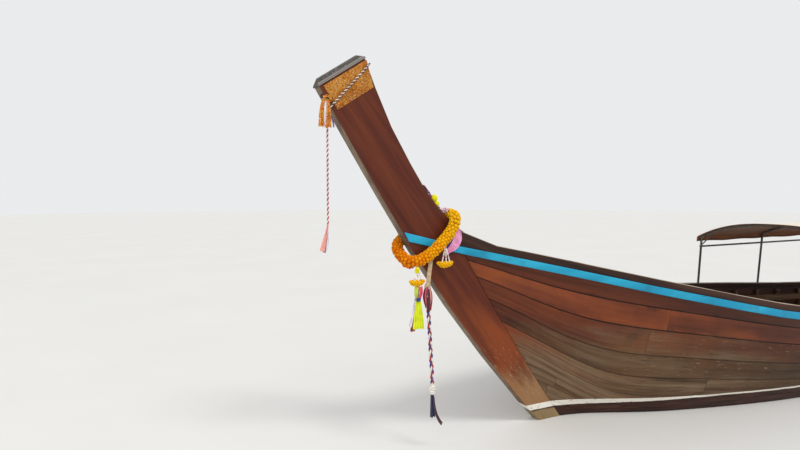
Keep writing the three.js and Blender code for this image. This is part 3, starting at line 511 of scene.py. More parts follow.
# %% [markdown]
# ## The hull's lines
# The planks lie on one smooth surface. Its shape is set at a few stations from the
# transom to the stem: where the top edge is, where the bottom edge lands on the keel, and
# two points that pull the curve between them. A spline runs through the stations and a
# Bezier curve through each section, the same lines as the frame's, so the smooth planks
# here lie exactly where the frame's faceted ones are.

# %% The lines of the hull
Station = namedtuple("Station", "x sheer_y sheer_z keel_z low_y low_z high_y high_z follow")
STATIONS = [
    Station(-4.150, 0.660, 0.735, -0.110, 0.560, -0.100, 0.640, 0.040, -0.15),
    Station(-3.000, 0.870, 0.655, -0.190, 0.730, -0.182, 0.830, -0.020, 0),
    Station(-1.500, 1.000, 0.678, -0.230, 0.820, -0.220, 0.950, -0.050, 0),
    Station(0.000, 1.035, 0.770, -0.240, 0.850, -0.230, 0.985, -0.045, 0),
    Station(1.500, 0.965, 0.890, -0.230, 0.800, -0.220, 0.900, -0.050, 0.08),
    Station(3.000, 0.740, 1.176, -0.215, 0.520, -0.200, 0.610, -0.015, 0.35),
    Station(4.200, 0.415, 1.443, -0.200, 0.230, -0.170, 0.290, 0.050, 0.75),
    Station(5.081, 0.055, 1.640, -0.185, 0.055, 0.100, 0.055, 0.900, 1),
]
STEM_HALF = 0.055
PLANK = 0.028
GAP = 0.3 * MM
HALVINGS = 30


def rabbet_x(z):
    """The stem's aft edge, where the planks end, at height z."""
    return 3.968 + 0.759 * z - 0.049 * z * z


def spline_value(values, u):
    """A smooth curve through values at whole numbers, read at u."""
    last = len(values) - 1
    i = min(int(u), last - 1)
    t = u - i
    p1, p2 = values[i], values[i + 1]
    p0 = values[i - 1] if i > 0 else 2 * p1 - p2
    p3 = values[i + 2] if i < last - 1 else 2 * p2 - p1
    return 0.5 * (2 * p1 + (p2 - p0) * t + (2 * p0 - 5 * p1 + 4 * p2 - p3) * t * t
                  + (3 * p1 - p0 - 3 * p2 + p3) * t ** 3)


def station(s):
    """The section at s, from 0 at the transom to 1 at the stem."""
    u = s * (len(STATIONS) - 1)
    return Station(*(spline_value(column, u) for column in zip(*STATIONS)))


def hull_point(row, g, depth):
    """A point of a section's planks at g up the girth, moved inboard by depth."""
    p = [(STEM_HALF, row.keel_z), (row.low_y, row.low_z), (row.high_y, row.high_z),
         (row.sheer_y, row.sheer_z)]
    k = 1 - g
    weight = (k ** 3, 3 * k * k * g, 3 * k * g * g, g ** 3)
    slope = (-3 * k * k, 3 * k * k - 6 * k * g, 6 * k * g - 3 * g * g, 3 * g * g)
    y, z = (sum(w * point[axis] for w, point in zip(weight, p)) for axis in (0, 1))
    ty, tz = (sum(w * point[axis] for w, point in zip(slope, p)) for axis in (0, 1))
    size = math.hypot(ty, tz)
    y -= depth * tz / size
    z += depth * ty / size
    x = row.x + row.follow * (rabbet_x(z) - rabbet_x(row.sheer_z))
    return Vector((x - GAP, y, z))


def girth_at(row, z, depth):
    """How far up the girth a section's planks are at height z, found by halving."""
    low, high = 0.0, 1.0
    for _ in range(HALVINGS):
        middle = (low + high) / 2
        if hull_point(row, middle, depth).z < z:
            low = middle
        else:
            high = middle
    return low


print("beam", round(2 * max(row.sheer_y for row in STATIONS), 2), "m")

# %% [markdown]
# ## Wood that has been at sea
# All the timber on this boat is the same kind of reddish hardwood, in different states.
# High up it is varnished and glows red-brown. Lower down the varnish is gone and the wood
# is grey-tan, with dark streaks along the grain and pale scuffs. Near the water a white
# line runs round the hull, with dark bottom paint under it. One recipe makes them all: it
# takes two numbers, metres along and metres across the grain, and stretches the noise
# along the grain.

# %% Recipe for timber
LINE_TOP = 0.160
LINE_THIN = 0.018
LINE_FULL = 0.052


def grain_of(f, along, across, seed=0.0):
    """Long streaks, fine fibres and slow patches along a board."""
    streak = f.noise(f.vector(along * 0.7, across * 14, seed), 1, 4, 0.6, 0.4)
    fibre = f.noise(f.vector(along * 3.2, across * 110, seed), 1, 3, 0.6)
    patch = f.noise(f.vector(along * 0.9, across * 3.0, seed + 7.0), 1, 3, 0.5)
    return streak, fibre, patch


def varnished(f, streak, fibre, patch, tone):
    """Red-brown wood under old varnish, lighter and more orange from board to board."""
    base = f.ramp(streak, (0.28, rgb("#3a1a12")), (0.46, rgb("#5e2c1a")), (0.62, rgb("#743a20")),
                  (0.8, rgb("#8a4c29")))
    warm = f.mix(f.step(patch, 0.42, 0.7) * f.step(tone, 0.2, 0.8), base, rgb("#93491f"))
    toned = f.shade(warm, 0.50 + 0.85 * tone)
    return f.shade(toned, 0.80 + 0.4 * fibre)


def weathered(f, streak, fibre, patch, tone):
    """Bare wood gone grey, with dark open grain and pale scuffs."""
    base = f.ramp(streak, (0.25, rgb("#35251a")), (0.42, rgb("#5c4632")), (0.6, rgb("#76604a")),
                  (0.8, rgb("#8f7a60")))
    warm = f.mix(f.step(patch, 0.42, 0.75), base, rgb("#6b4529"))
    toned = f.shade(warm, 0.72 + 0.45 * tone)
    return f.shade(toned, 0.74 + 0.52 * fibre)


def waterline(f, colour, place, rough):
    """The white line round the hull and the bottom paint under it."""
    x, z = f.part(place, "X"), f.part(place, "Z")
    wave = f.noise(place, 7, 4, 0.6)
    thick = f.step(x, 2.4, 4.0, LINE_THIN, LINE_FULL)
    top = LINE_TOP + 0.006 * (wave - 0.5)
    low = top - thick + 0.010 * (wave - 0.5)
    chips = f.step(f.noise(place, 38, 4, 0.7), 0.60, 0.68)
    white = f.mix(chips, f.shade(rgb("#e8e4d8"), 0.82 + 0.3 * wave), rgb("#8b7c66"))
    slime = f.noise(f.vector(x * 3, z * 40, 2.0), 1, 4, 0.6)
    bottom = f.ramp(slime, (0.3, rgb("#1d1512")), (0.5, rgb("#3b211a")), (0.62, rgb("#4a2a20")),
                    (0.8, rgb("#4f4a3a")))
    wet = f.mix(f.step(z, -0.05, 0.05), rgb("#2b2a22"), bottom)
    under = f.step(z - low, -0.002, 0.002)
    over = f.step(z - top, -0.002, 0.002)
    painted = f.mix(under, wet, white)
    return f.mix(over, painted, colour), 0.55 + (rough - 0.55) * over


print("the white line's top is", LINE_TOP, "m above the water")

# %% [markdown]
# ## Planks
# Each side has ten strakes. A real strake is one long board, or two or three joined end
# to end, bent round the frames and fitted edge to edge with its neighbour, with thin
# stuff rammed into the seam. A grid gives one strake: its rows are laid on the hull's
# lines, Solidify gives it its thickness inboard, and a small bevel opens the seam. Each
# strake keeps its tone and its share across, for the finish to read.

# %% Shape one strake
BANDS = [
    ("bottom_planking", (0, 0.14, 0.28, 0.41), "bottom_paint"),
    ("side_planking", (0.41, 0.5, 0.59, 0.695), "weathered_wood"),
    ("upper_planking", (0.695, 0.79, 0.88, 0.945, 1), "varnished_wood"),
]
STRAKE_TONES = {
    "bottom_planking": (0.30, 0.50, 0.40),
    "side_planking": (0.45, 0.62, 0.86),
    "upper_planking": (0.20, 0.46, 0.90, 0.28),
}
STRAKE_ROWS = 110
STRAKE_COLUMNS = 6
SEAM_EDGE = 2.6 * MM
SEAM_SHIFT = 0.0002
GIRTH_METRES = 1.7


def strake(name, low, high, side, tone):
    """One strake between two girths, on the port side (1) or the starboard side (-1)."""
    bpy.ops.mesh.primitive_grid_add(x_subdivisions=STRAKE_ROWS, y_subdivisions=STRAKE_COLUMNS, size=1)
    board = bpy.context.active_object
    board.name = name
    mesh = board.data
    sections = [station(i / STRAKE_ROWS) for i in range(STRAKE_ROWS + 1)]
    run, shares = [], []
    for vertex in mesh.vertices:
        i = round((vertex.co.x + 0.5) * STRAKE_ROWS)
        j = round((vertex.co.y + 0.5) * STRAKE_COLUMNS)
        g = low + (high - low) * j / STRAKE_COLUMNS
        p = hull_point(sections[i], g, 0.0)
        run.append((p.x, g))
        shares.append(j / STRAKE_COLUMNS)
        vertex.co = (p.x, side * p.y, p.z)
    layer = mesh.uv_layers.active
    layer.name = "grain"
    for loop in mesh.loops:
        x, g = run[loop.vertex_index]
        layer.data[loop.index].uv = (x, (g - low) * GIRTH_METRES)
    mesh.attributes.new("strake", "FLOAT", "POINT").data.foreach_set("value", [tone] * len(mesh.vertices))
    mesh.attributes.new("share", "FLOAT", "POINT").data.foreach_set("value", shares)
    if (mesh.polygons[0].normal.y > 0) != (side > 0):
        mesh.flip_normals()
    solidify = board.modifiers.new("thickness", "SOLIDIFY")
    solidify.thickness = PLANK
    solidify.offset = -1
    bevel = board.modifiers.new("seam", "BEVEL")
    bevel.width = SEAM_EDGE
    bevel.segments = 2
    bevel.limit_method = "ANGLE"
    bevel.angle_limit = math.radians(50)
    return settle(board)


print(sum(len(seams) - 1 for _, seams, _ in BANDS), "strakes a side")

# %% [markdown]
# ## The planks' finish
# Varnish lasts longest high up at the bow. Lower down and further aft it fades to bare
# grey wood, and paint begins at the water. One finish can do all of it, because each
# change is a soft step over the height or the length, broken up by noise that is drawn
# out along the grain. Boards, butt joints, seams, cracks, scuffs and drip marks are laid
# over each other in the order in which they come on a real boat.

# %% Finish of the planks
BOARD_LENGTH = 4.6


def planking_finish():
    """Varnish that fades to bare wood lower down and aft, with paint at the line."""
    f = Finish("planking", Specular_IOR_Level=0.22)
    place = f.place()
    run = f.layer("grain")
    mark = f.tag("strake")
    along, across = f.part(run, "X"), f.part(run, "Y")
    joints = (along + mark * 23.0) / BOARD_LENGTH
    board = f.chance(f.floor(joints) + mark * 31.0)
    streak, fibre, patch = grain_of(f, along + board * 20.0, across + board * 3.0)
    tone = 0.92 * mark + 0.08 * board
    x, z = f.part(place, "X"), f.part(place, "Z")
    shine = varnished(f, streak, fibre, patch, tone)
    # Both the varnished and the bare wood are made darker further aft.
    shine = f.shade(shine, f.step(x, 1.8, 4.4, 0.52, 0.98))
    bare = f.shade(weathered(f, streak, fibre, patch, tone), f.step(x, 1.6, 3.8, 0.58, 1.10))
    rise = f.step(x, 0.8, 3.6, 0.34, 0.80) - f.step(x, 4.3, 5.0, 0.0, 0.12)
    ragged = f.noise(f.vector(along * 1.2, across * 9, 3.0), 1, 5, 0.65)
    dry = f.step(z - rise + 0.70 * (ragged - 0.5) + 0.18 * (tone - 0.5), -0.20, 0.20)
    knots = f.noise(f.vector(along * 3.0, across * 7, 12.0 + board), 1, 2, 0.4)
    shine = f.mix(f.step(knots, 0.70, 0.78) * 0.75, shine, rgb("#2a120b"))
    colour = f.mix(dry, bare, shine)
    scratch = f.noise(f.vector(along * 9, across * 90, 5.0), 1, 3, 0.6)
    scuff = f.step(scratch, 0.62, 0.70) * f.step(z, 0.95, 0.35) * f.step(patch, 0.46, 0.60)
    colour = f.mix(scuff * 0.45, colour, rgb("#bdb29c"))
    crack = f.step(f.noise(f.vector(along * 3.5, across * 62, 8.0), 1, 4, 0.65), 0.43, 0.33)
    cluster = f.step(f.noise(f.vector(along * 1.3, across * 6, 9.0), 1, 3, 0.6), 0.42, 0.56)
    hole = crack * (1 - dry) * cluster
    colour = f.mix(hole * 0.8, colour, rgb("#231812"))
    butt = f.step(f.size(f.fraction(joints) - 0.5), 0.4994, 0.4998) * 0.6
    seam = f.step(f.size(f.tag("share") - 0.5) + 0.03 * (fibre - 0.5), 0.462, 0.486)
    gap = 1 - (1 - butt) * (1 - seam * (0.92 - 0.5 * (1 - dry)))
    colour = f.mix(gap, colour, rgb("#150c08"))
    drip = f.noise(f.vector(x * 7, z * 0.8, 4.0), 1, 3, 0.6)
    colour = f.shade(colour, 0.86 + 0.3 * drip)
    rough = 0.62 - 0.26 * dry + 0.12 * streak
    colour, rough = waterline(f, colour, place, rough)
    height = 0.6 * streak + 0.5 * fibre - 1.0 * hole - 1.5 * butt
    return f.finish(colour, rough + 0.3 * gap, height, 0.0016)


PLANKING = planking_finish()
print("planking finish of", len(PLANKING.node_tree.nodes), "nodes")

# %% [markdown]
# ## Ten strakes a side
# The strakes are laid band by band, as in the frame, so that each band of the frame gives
# way to the strakes that lie on it. A little chance in the tone keeps the two sides of the
# boat from being copies of each other.

# %% Lay the strakes
dice = random.Random(12)
for band, seams, slot_name in BANDS:
    for side, side_name in ((1, "port"), (-1, "starboard")):
        boards = []
        for i, (low, high) in enumerate(zip(seams, seams[1:])):
            shifted = (low + SEAM_SHIFT if low else 0.0, high - SEAM_SHIFT if high < 1 else 1.0)
            tone = STRAKE_TONES[band][i] + dice.uniform(-0.06, 0.06)
            boards.append(strake(f"{band}_{i}", *shifted, side, tone))
        node = f"{band}_{side_name}"
        planks = soften(join(f"{band}_{side_name}_strakes", boards), 30)
        wear(planks, PLANKING)
        fit(planks, "hull", slot_name, node)
        print(node, len(planks.data.polygons), "faces")

# %% [markdown]
# ## Timbers that keep the frame's shape
# The stem, the keel, the benches and most of the engine already have the right shape in
# the frame, but their edges are sharper than anything that has been planed, cast or
# knocked about. A copy of the node is merged, its flat faces are dissolved into whole
# ones, and a bevel rounds every edge, so that each one catches a thin light.

# %% Copy a node and round its edges


def refined(node, width, body, slot_name, finish, segments=2, flat=2.0, smooth=32, sharp=28):
    """Makes a copy of a node with rounded edges, which stands for it."""
    pick(frame["nodes"][node])
    bpy.ops.object.duplicate()
    piece = bpy.context.active_object
    piece.parent = None
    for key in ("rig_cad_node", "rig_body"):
        if key in piece:
            del piece[key]
    bpy.ops.object.mode_set(mode="EDIT")
    bpy.ops.mesh.select_all(action="SELECT")
    bpy.ops.mesh.remove_doubles(threshold=2e-5)
    bpy.ops.mesh.select_all(action="SELECT")
    bpy.ops.mesh.dissolve_limited(angle_limit=math.radians(flat))
    bpy.ops.object.mode_set(mode="OBJECT")
    if width:
        bevel = piece.modifiers.new("edges", "BEVEL")
        bevel.width = width
        bevel.segments = segments
        bevel.limit_method = "ANGLE"
        bevel.angle_limit = math.radians(sharp)
    settle(piece, f"{node}_piece")
    wear(piece, finish)
    soften(piece, smooth)
    fit(piece, body, slot_name, node)


print("edges are rounded from the copies of nodes")

# %% [markdown]
# ## Grain that follows each timber
# A plank's grain comes from its UV map, but a solid timber has none. Its grain can run along a direction in
# the boat instead: the dot product of a place and a direction tells how far along that direction the place
# is. The stem has a finish of its own. Its front face is paler, partly bare wood rubbed by other boats and
# beaches and partly a painted highlight. Its middle carries patches of painted orange highlight on the
# varnish, and its foot is worn pale.

# %% Finishes for timbers and the stem


def timber(name, direction, tone, state, seed, level=False):
    """Wood whose grain runs along a direction, for timbers that aren't planks."""
    f = Finish(name, Specular_IOR_Level=0.22)
    place = f.place()
    way = Vector(direction).normalized()
    other = Vector((0, 1, 0))
    if abs(way.dot(other)) > 0.9:
        other = Vector((0, 0, 1))
    across_way = way.cross(other).normalized()
    along = f.along(place, way)
    across = f.along(place, across_way) + 0.6 * f.along(place, other)
    streak, fibre, patch = grain_of(f, along, across, seed)
    recipe = {"varnish": varnished, "bare": weathered}[state]
    colour = recipe(f, streak, fibre, patch, tone)
    rough = 0.42 + 0.2 * streak if state == "varnish" else 0.7 + 0.15 * streak
    if level:
        colour, rough = waterline(f, colour, place, rough)
    return f.finish(colour, rough, 0.6 * streak + 0.5 * fibre, 0.0015)


UP_STEM = Vector((0.60, 0, 0.80))
OFF_STEM = Vector((0.80, 0, -0.60))


def stem_finish():
    """The stem and prow: varnished sides with patches of painted orange highlight, pale worn wood at the
    foot, and a paler front face, partly worn and partly a painted highlight.
    """
    f = Finish("stem_varnish", Specular_IOR_Level=0.22)
    place = f.place()
    y, z = (f.part(place, axis) for axis in "YZ")
    along = f.along(place, UP_STEM)
    across = f.along(place, OFF_STEM) + 0.3 * y
    streak, fibre, patch = grain_of(f, along, across, 11.0)
    tone = f.step(z, 0.3, 3.0, 0.50, 0.38) + 0.2 * (patch - 0.5)
    shine = varnished(f, streak, fibre, patch, tone)
    shine = f.shade(f.mix(0.35, shine, rgb("#5e1d10")), 0.84)
    # Painted highlight: brighter orange patches on the middle of the stem, where the light catches the
    # varnish.
    painted_highlight_patches = f.step(f.noise(f.vector(along * 0.8, across * 5, 1.0), 1, 3, 0.5), 0.46, 0.62)
    warm = f.step(z, 0.2, 0.6) * f.step(z, 1.35, 0.85) * painted_highlight_patches
    shine = f.mix(warm * 0.7, shine, rgb("#8c431b"))
    bare = weathered(f, streak, fibre, patch, 0.75)
    bare = f.mix(0.55, bare, rgb("#a87b52"))
    ragged = f.noise(f.vector(along * 3, across * 14, 3.0), 1, 5, 0.65)
    foot = f.step(z + 0.55 * (ragged - 0.5), 0.62, 0.26)
    chip = f.step(f.noise(f.vector(along * 16, across * 60, 6.0), 1, 5, 0.7), 0.56, 0.70)
    chip = chip * f.step(z, 0.95, 0.40) * f.step(z, 0.16, 0.30)
    # The front face is made paler: partly bare wood rubbed by boats and beaches, partly a painted highlight
    # where the light falls on that face.
    lead = f.step(f.size(y), 0.0525, 0.0515)
    facing = f.along(f.node("ShaderNodeNewGeometry", output="Normal"), OFF_STEM)
    front = f.step(facing, 0.5, 0.7)
    worn = f.mix(foot, shine, bare)
    worn = f.mix(chip * 0.7, worn, rgb("#c3a988"))
    face = f.mix(f.step(ragged, 0.35, 0.6), rgb("#84705b"), rgb("#5f4a3a"))
    worn = f.mix(front * lead, worn, f.shade(face, 0.8 + 0.35 * fibre))
    rough = 0.40 + 0.22 * streak + 0.2 * foot
    colour, rough = waterline(f, worn, place, rough)
    raw = f.step(z + 0.05 * (ragged - 0.5), 0.105, 0.085)
    colour = f.mix(raw, colour, f.shade(rgb("#8c7654"), 0.6 + 0.7 * ragged))
    height = 0.6 * streak + 0.5 * fibre - 0.9 * chip - 0.6 * foot
    return f.finish(colour, rough, height, 0.002)


STEM = stem_finish()
DARK = timber("dark_timber", (1, 0, 0), 0.1, "varnish", 3.0)
BARE = timber("bare_timber", (1, 0, 0), 0.6, "bare", 5.0)
BENCH_WOOD = timber("bench_timber", (0, 1, 0), 0.65, "bare", 8.0)
KEEL_WOOD = timber("keel_timber", (1, 0, 0), 0.3, "bare", 4.0, level=True)
print("stem finish of", len(STEM.node_tree.nodes), "nodes")

# %% [markdown]
# ## Backbone, decks and benches
# The heavy timbers get a wide rounding and the thin boards a narrow one, as a plane would
# leave them. The grain runs along the boat, but across it on the benches.

# %% Refine the timbers
refined("stem_post", 5 * MM, "hull", "varnished_wood", STEM, 3)
refined("prow_post", 5 * MM, "hull", "varnished_wood", STEM, 3)
refined("inner_stem", 4 * MM, "hull", "dark_wood", DARK)
refined("keel", 6 * MM, "hull", "bottom_paint", KEEL_WOOD)
refined("transom", 5 * MM, "hull", "dark_wood", DARK)
for node in ("bow_deck", "stern_deck", "floorboards"):
    refined(node, 2 * MM, "hull", "weathered_wood", BARE)
for node in ("bench_fore", "bench_second", "bench_third", "bench_fourth", "bench_aft"):
    refined(node, 4 * MM, "hull", "weathered_wood", BENCH_WOOD)
for node in ("frames_port", "frames_starboard"):
    refined(node, 2 * MM, "hull", "weathered_wood", BARE)
print("timbers refined")

# %% [markdown]
# ## Rails
# A gunwale caps the planks, nearly black with age, and its top face is painted pale in patches: partly
# rubbing by feet and ropes, partly a painted highlight where the light falls on the top. Under it runs the
# rub rail, painted turquoise and chipped. Both are swept along the sheer in the frame; here they get rounded
# edges and their paint.

# %% Gunwales and rub rails


def gunwale_finish():
    """Nearly black wood, paler on top: partly rubbed, partly a painted highlight on the top face."""
    f = Finish("gunwale_wood", Specular_IOR_Level=0.22)
    place = f.place()
    x, y, z = (f.part(place, axis) for axis in "XYZ")
    up = f.part(f.node("ShaderNodeNewGeometry", output="Normal"), "Z")
    streak, fibre, patch = grain_of(f, x, z + y, 21.0)
    dark = f.ramp(streak, (0.3, rgb("#1f1310")), (0.5, rgb("#35211a")), (0.7, rgb("#4a2f24")))
    worn = f.mix(f.step(patch, 0.35, 0.6), rgb("#8f7f6c"), rgb("#c4b8a4"))
    # Painted highlight and wear: faces that look up are made paler, in patches.
    rubbed_and_lit_top = f.step(up, 0.35, 0.75) * f.step(f.noise(f.vector(x * 2, y * 12, 4.0), 1, 4, 0.6), 0.28, 0.44)
    colour = f.mix(rubbed_and_lit_top * 0.85, dark, f.shade(worn, 0.75 + 0.4 * fibre))
    return f.finish(colour, 0.5 + 0.2 * streak, 0.6 * streak + 0.4 * fibre, 0.0014)


def rub_finish():
    """Turquoise paint, grimy in places and chipped down to the wood."""
    f = Finish("turquoise_paint", Specular_IOR_Level=0.3)
    place = f.place()
    x, z = (f.part(place, axis) for axis in "XZ")
    streak, _, patch = grain_of(f, x, z + 0.3 * x, 31.0)
    paint = f.mix(f.step(patch, 0.35, 0.7), rgb("#1594bd"), rgb("#2fb3d6"))
    paint = f.shade(paint, 0.8 + 0.3 * streak)
    chips = f.step(f.noise(f.vector(x * 6, z * 30, 9.0), 1, 5, 0.7), 0.665, 0.70)
    grime = f.step(f.noise(place, 3.5, 5, 0.7), 0.52, 0.72)
    colour = f.mix(grime * 0.35, paint, rgb("#2c5563"))
    colour = f.mix(chips, colour, rgb("#3a241b"))
    return f.finish(colour, 0.46 + 0.2 * patch, 0.5 * streak - 1.2 * chips, 0.0012)


GUNWALE = gunwale_finish()
RUB = rub_finish()
for side_name in ("port", "starboard"):
    refined(f"gunwale_{side_name}", 7 * MM, "hull", "dark_wood", GUNWALE, 3, flat=0.5)
    refined(f"rub_rail_{side_name}", 4 * MM, "hull", "blue_paint", RUB, 3, flat=0.5)
print("rails done")

# %% [markdown]
# ## Ribbons and sheets of cloth
# A ribbon is a grid laid along a line: the rows follow the line, and the columns spread
# across it. A wave across the columns gathers the cloth into folds, and Solidify gives it
# a real thickness. The same helper makes the sash, the tails of the cords and the bunch
# of ribbons, so that each of them is a real strip with an edge and a back.

# %% Lay a ribbon along a line
RIBBON_STEP = 0.012
CLOTH = 1.2 * MM
OUTBOARD = Vector((0, 1, 0))


def ribbon(name, points, width, finishes, folds, depth, seed, ragged=0.0, columns=14, split=1.0,
           thick=CLOTH):
    """A strip of cloth gathered in folds; past `split` across, it takes the second finish."""
    line = smooth_route(points, RIBBON_STEP)
    rows = len(line)
    bpy.ops.mesh.primitive_grid_add(x_subdivisions=rows - 1, y_subdivisions=columns, size=1)
    strip = bpy.context.active_object
    mesh = strip.data
    wide = width if callable(width) else (lambda share: width)
    toss = random.Random(seed)
    slant = [toss.uniform(-1, 1) * ragged for _ in range(columns + 1)]
    where = []
    for vertex in mesh.vertices:
        i = round((vertex.co.x + 0.5) * (rows - 1))
        t = vertex.co.y + 0.5
        where.append((i / (rows - 1), t))
        ahead = (line[min(i + 1, rows - 1)] - line[max(i - 1, 0)]).normalized()
        share = i / (rows - 1)
        side = ahead.cross(OUTBOARD).normalized()
        normal = side.cross(ahead).normalized()
        w = wide(share)
        wave = math.sin(2 * math.pi * folds * t + 1.3 * seed + 1.6 * share) * depth * (0.45 + 0.55 * share)
        hem = slant[round(t * columns)] * share ** 6
        vertex.co = line[i] + side * ((t - 0.5) * w) + normal * wave + ahead * hem
    layer = mesh.uv_layers.active
    layer.name = "run"
    length = line_length(line)
    for loop in mesh.loops:
        share, t = where[loop.vertex_index]
        layer.data[loop.index].uv = (share * length, t)
    wear(strip, *finishes)
    if len(finishes) > 1:
        for polygon in mesh.polygons:
            middle = sum(where[v][1] for v in polygon.vertices) / len(polygon.vertices)
            polygon.material_index = 1 if middle > split else 0
    solidify = strip.modifiers.new("cloth", "SOLIDIFY")
    solidify.thickness = thick
    solidify.offset = 0
    settle(strip, name)
    return soften(strip, 70)


def cloth_area(piece):
    """The area of its cloth, which is half of what both its faces measure."""
    return sum(polygon.area for polygon in piece.data.polygons) / 2


def cloth(piece, length):
    """Works out a sheet's flat width from the length of its longest strip; the width is not kept."""
    cloth_area(piece) / length


print("a ribbon has a row every", RIBBON_STEP, "m")

# %% [markdown]
# ## Satin
# Satin shines, and shows each fold as a light and a dark band. Sheen gives the soft shine, and fine threads
# across the run break it up. A slow noise also paints light and dark bands into the colour, as painted shade
# and painted highlight on the folds, and the same noise bumps the surface. A striped ribbon mixes in a second
# colour by a sine over its width.

# %% Satin in all the colours


def satin(name, colour, other, stripe=None):
    """Satin ribbon: smooth, with a soft shine and fine threads across it."""
    f = Finish(name, Sheen_Weight=0.35, Sheen_Roughness=0.35)
    run = f.layer("run")
    along, across = f.part(run, "X"), f.part(run, "Y")
    place = f.place()
    patch = f.noise(place, 22, 3)
    thread = f.sine(along * 2600) * 0.5
    fold_bump_and_painted_shade = f.noise(f.vector(along * 5, across * 9, 2.0), 1, 3, 0.5)
    tone = f.mix(f.step(patch, 0.3, 0.7), rgb(colour), rgb(other))
    if stripe:
        band = f.step(f.sine(across * 34), 0.25, 0.6)
        tone = f.mix(band, tone, rgb(stripe))
    # Painted shade and highlight: the fold noise darkens and lightens the colour in bands.
    tone = f.shade(tone, 0.80 + 0.36 * fold_bump_and_painted_shade + 0.04 * thread)
    return f.finish(tone, 0.42 + 0.2 * patch, thread * 0.3 + fold_bump_and_painted_shade, 0.0015)


PINK = satin("pink_satin", "#eaa6cd", "#dc82b2")
ROSE = satin("rose_satin", "#e4586e", "#cf3f5b")
CORAL = satin("coral_satin", "#ee8676", "#e2695f", "#f4d9cc")
LILAC = satin("violet_satin", "#5b3b93", "#43297a")
NAVY = satin("navy_satin", "#1d1c52", "#141440")
SUNNY = satin("yellow_satin", "#e6f01a", "#d7e010")
SNOW = satin("white_satin", "#efeaf2", "#d9cfe0")
CRIMSON = satin("crimson_satin", "#b3203c", "#8f1731")
LIME = satin("lime_satin", "#c9d53c", "#a9bb3a")
MAROON = satin("maroon_satin", "#4d121e", "#330c16")
BLUE = satin("blue_satin", "#3f45a8", "#2c3088")
print("satin in eleven colours")

# %% [markdown]
# ## Knots
# A knot is the cord itself, wound over itself. A short thick yarn is taken round two or
# three times on a tight coil, and once more across it at a slant. At this size that reads
# as a real knot, with the turns catching the light one by one.

# %% Wind a knot
COIL_STEPS = 60
CROSS_STEPS = 24


def wound(name, centre, radius, high, yarn, turns, finish):
    """Turns of yarn stacked in a coil, with one slanting turn across them."""
    centre = Vector(centre)
    coil = []
    for i in range(COIL_STEPS + 1):
        share = i / COIL_STEPS
        a = 2 * math.pi * turns * share
        swell = radius * (0.72 + 0.28 * math.sin(math.pi * share)) - yarn
        coil.append(centre + Vector((swell * math.cos(a), swell * math.sin(a), high * (0.5 - share))))
    across = []
    for i in range(CROSS_STEPS + 1):
        a = 2 * math.pi * i / CROSS_STEPS
        reach = radius - yarn * 0.6
        across.append(centre + Vector((reach * math.cos(a), reach * math.sin(a), 0.34 * high * math.sin(a))))
    core = [centre + Vector((0, 0, high * (0.5 - i / 6))) for i in range(7)]
    pieces = [tube_mesh("coil", coil, yarn, 8), tube_mesh("across", across, yarn * 0.9, 8),
              tube_mesh("core", core, radius * 0.72, 10)]
    piece = join(name, pieces)
    wear(piece, finish)
    return soften(piece, 60)


HEAD_KNOT = Vector((6.2389, 0.044, 2.710))
BRAID_KNOT = Vector((5.456, 0.160, 1.3463))
TAN = cloth_finish("tan_cotton", "#cdb795", "#a98f6c")
knot = wound("head_knot_wound", HEAD_KNOT, 19 * MM, 30 * MM, 5.5 * MM, 3, RED)
fit(knot, "hull", "red_cord", "head_knot")
knot = wound("braid_knot_wound", BRAID_KNOT, 25 * MM, 40 * MM, 8 * MM, 2.5, TAN)
fit(knot, "hull", "plait", "braid_knot")
print("two knots, the lower one with", len(knot.data.polygons), "faces")

# %% [markdown]
# ## Tails of the cords
# The head cord ends in strips of cloth, coral with pale stripes, crimson and white. The strips are a sheet of
# their own, and the cord's length is measured along its route.

# %% Tail the head cord
head_tails = [
    ribbon("tail_coral", [(6.2505, 0.048, 1.856), (6.262, 0.049, 1.80), (6.282, 0.050, 1.72),
                          (6.298, 0.050, 1.652)], lambda s: 0.009 + 0.030 * s, [CORAL], folds=1.3,
           depth=0.005, ragged=0.006, seed=1),
    ribbon("tail_crimson", [(6.249, 0.046, 1.856), (6.256, 0.045, 1.79), (6.269, 0.044, 1.71),
                            (6.278, 0.044, 1.640)], lambda s: 0.009 + 0.014 * s, [CRIMSON], folds=1,
           depth=0.004, ragged=0.005, seed=2),
    ribbon("tail_white", [(6.2475, 0.0475, 1.856), (6.248, 0.048, 1.78), (6.252, 0.049, 1.71),
                          (6.2605, 0.049, 1.655)], lambda s: 0.007 + 0.009 * s, [SNOW], folds=0.8,
           depth=0.003, ragged=0.004, seed=3),
]
head_tail = join("head_cord_streamers", head_tails)
fit(head_tail, "hull", "red_cord", "head_cord_tail")
line_length(head_line)
cloth(head_tail, 0.21)
print("head cord's tails", len(head_tail.data.polygons), "faces")

# %% [markdown]
# ## The braid's foot
# A bulky white knot stops the plait from coming undone. It belongs to the cord. Navy, violet, dark red and
# white strips hang below it, again as a sheet.

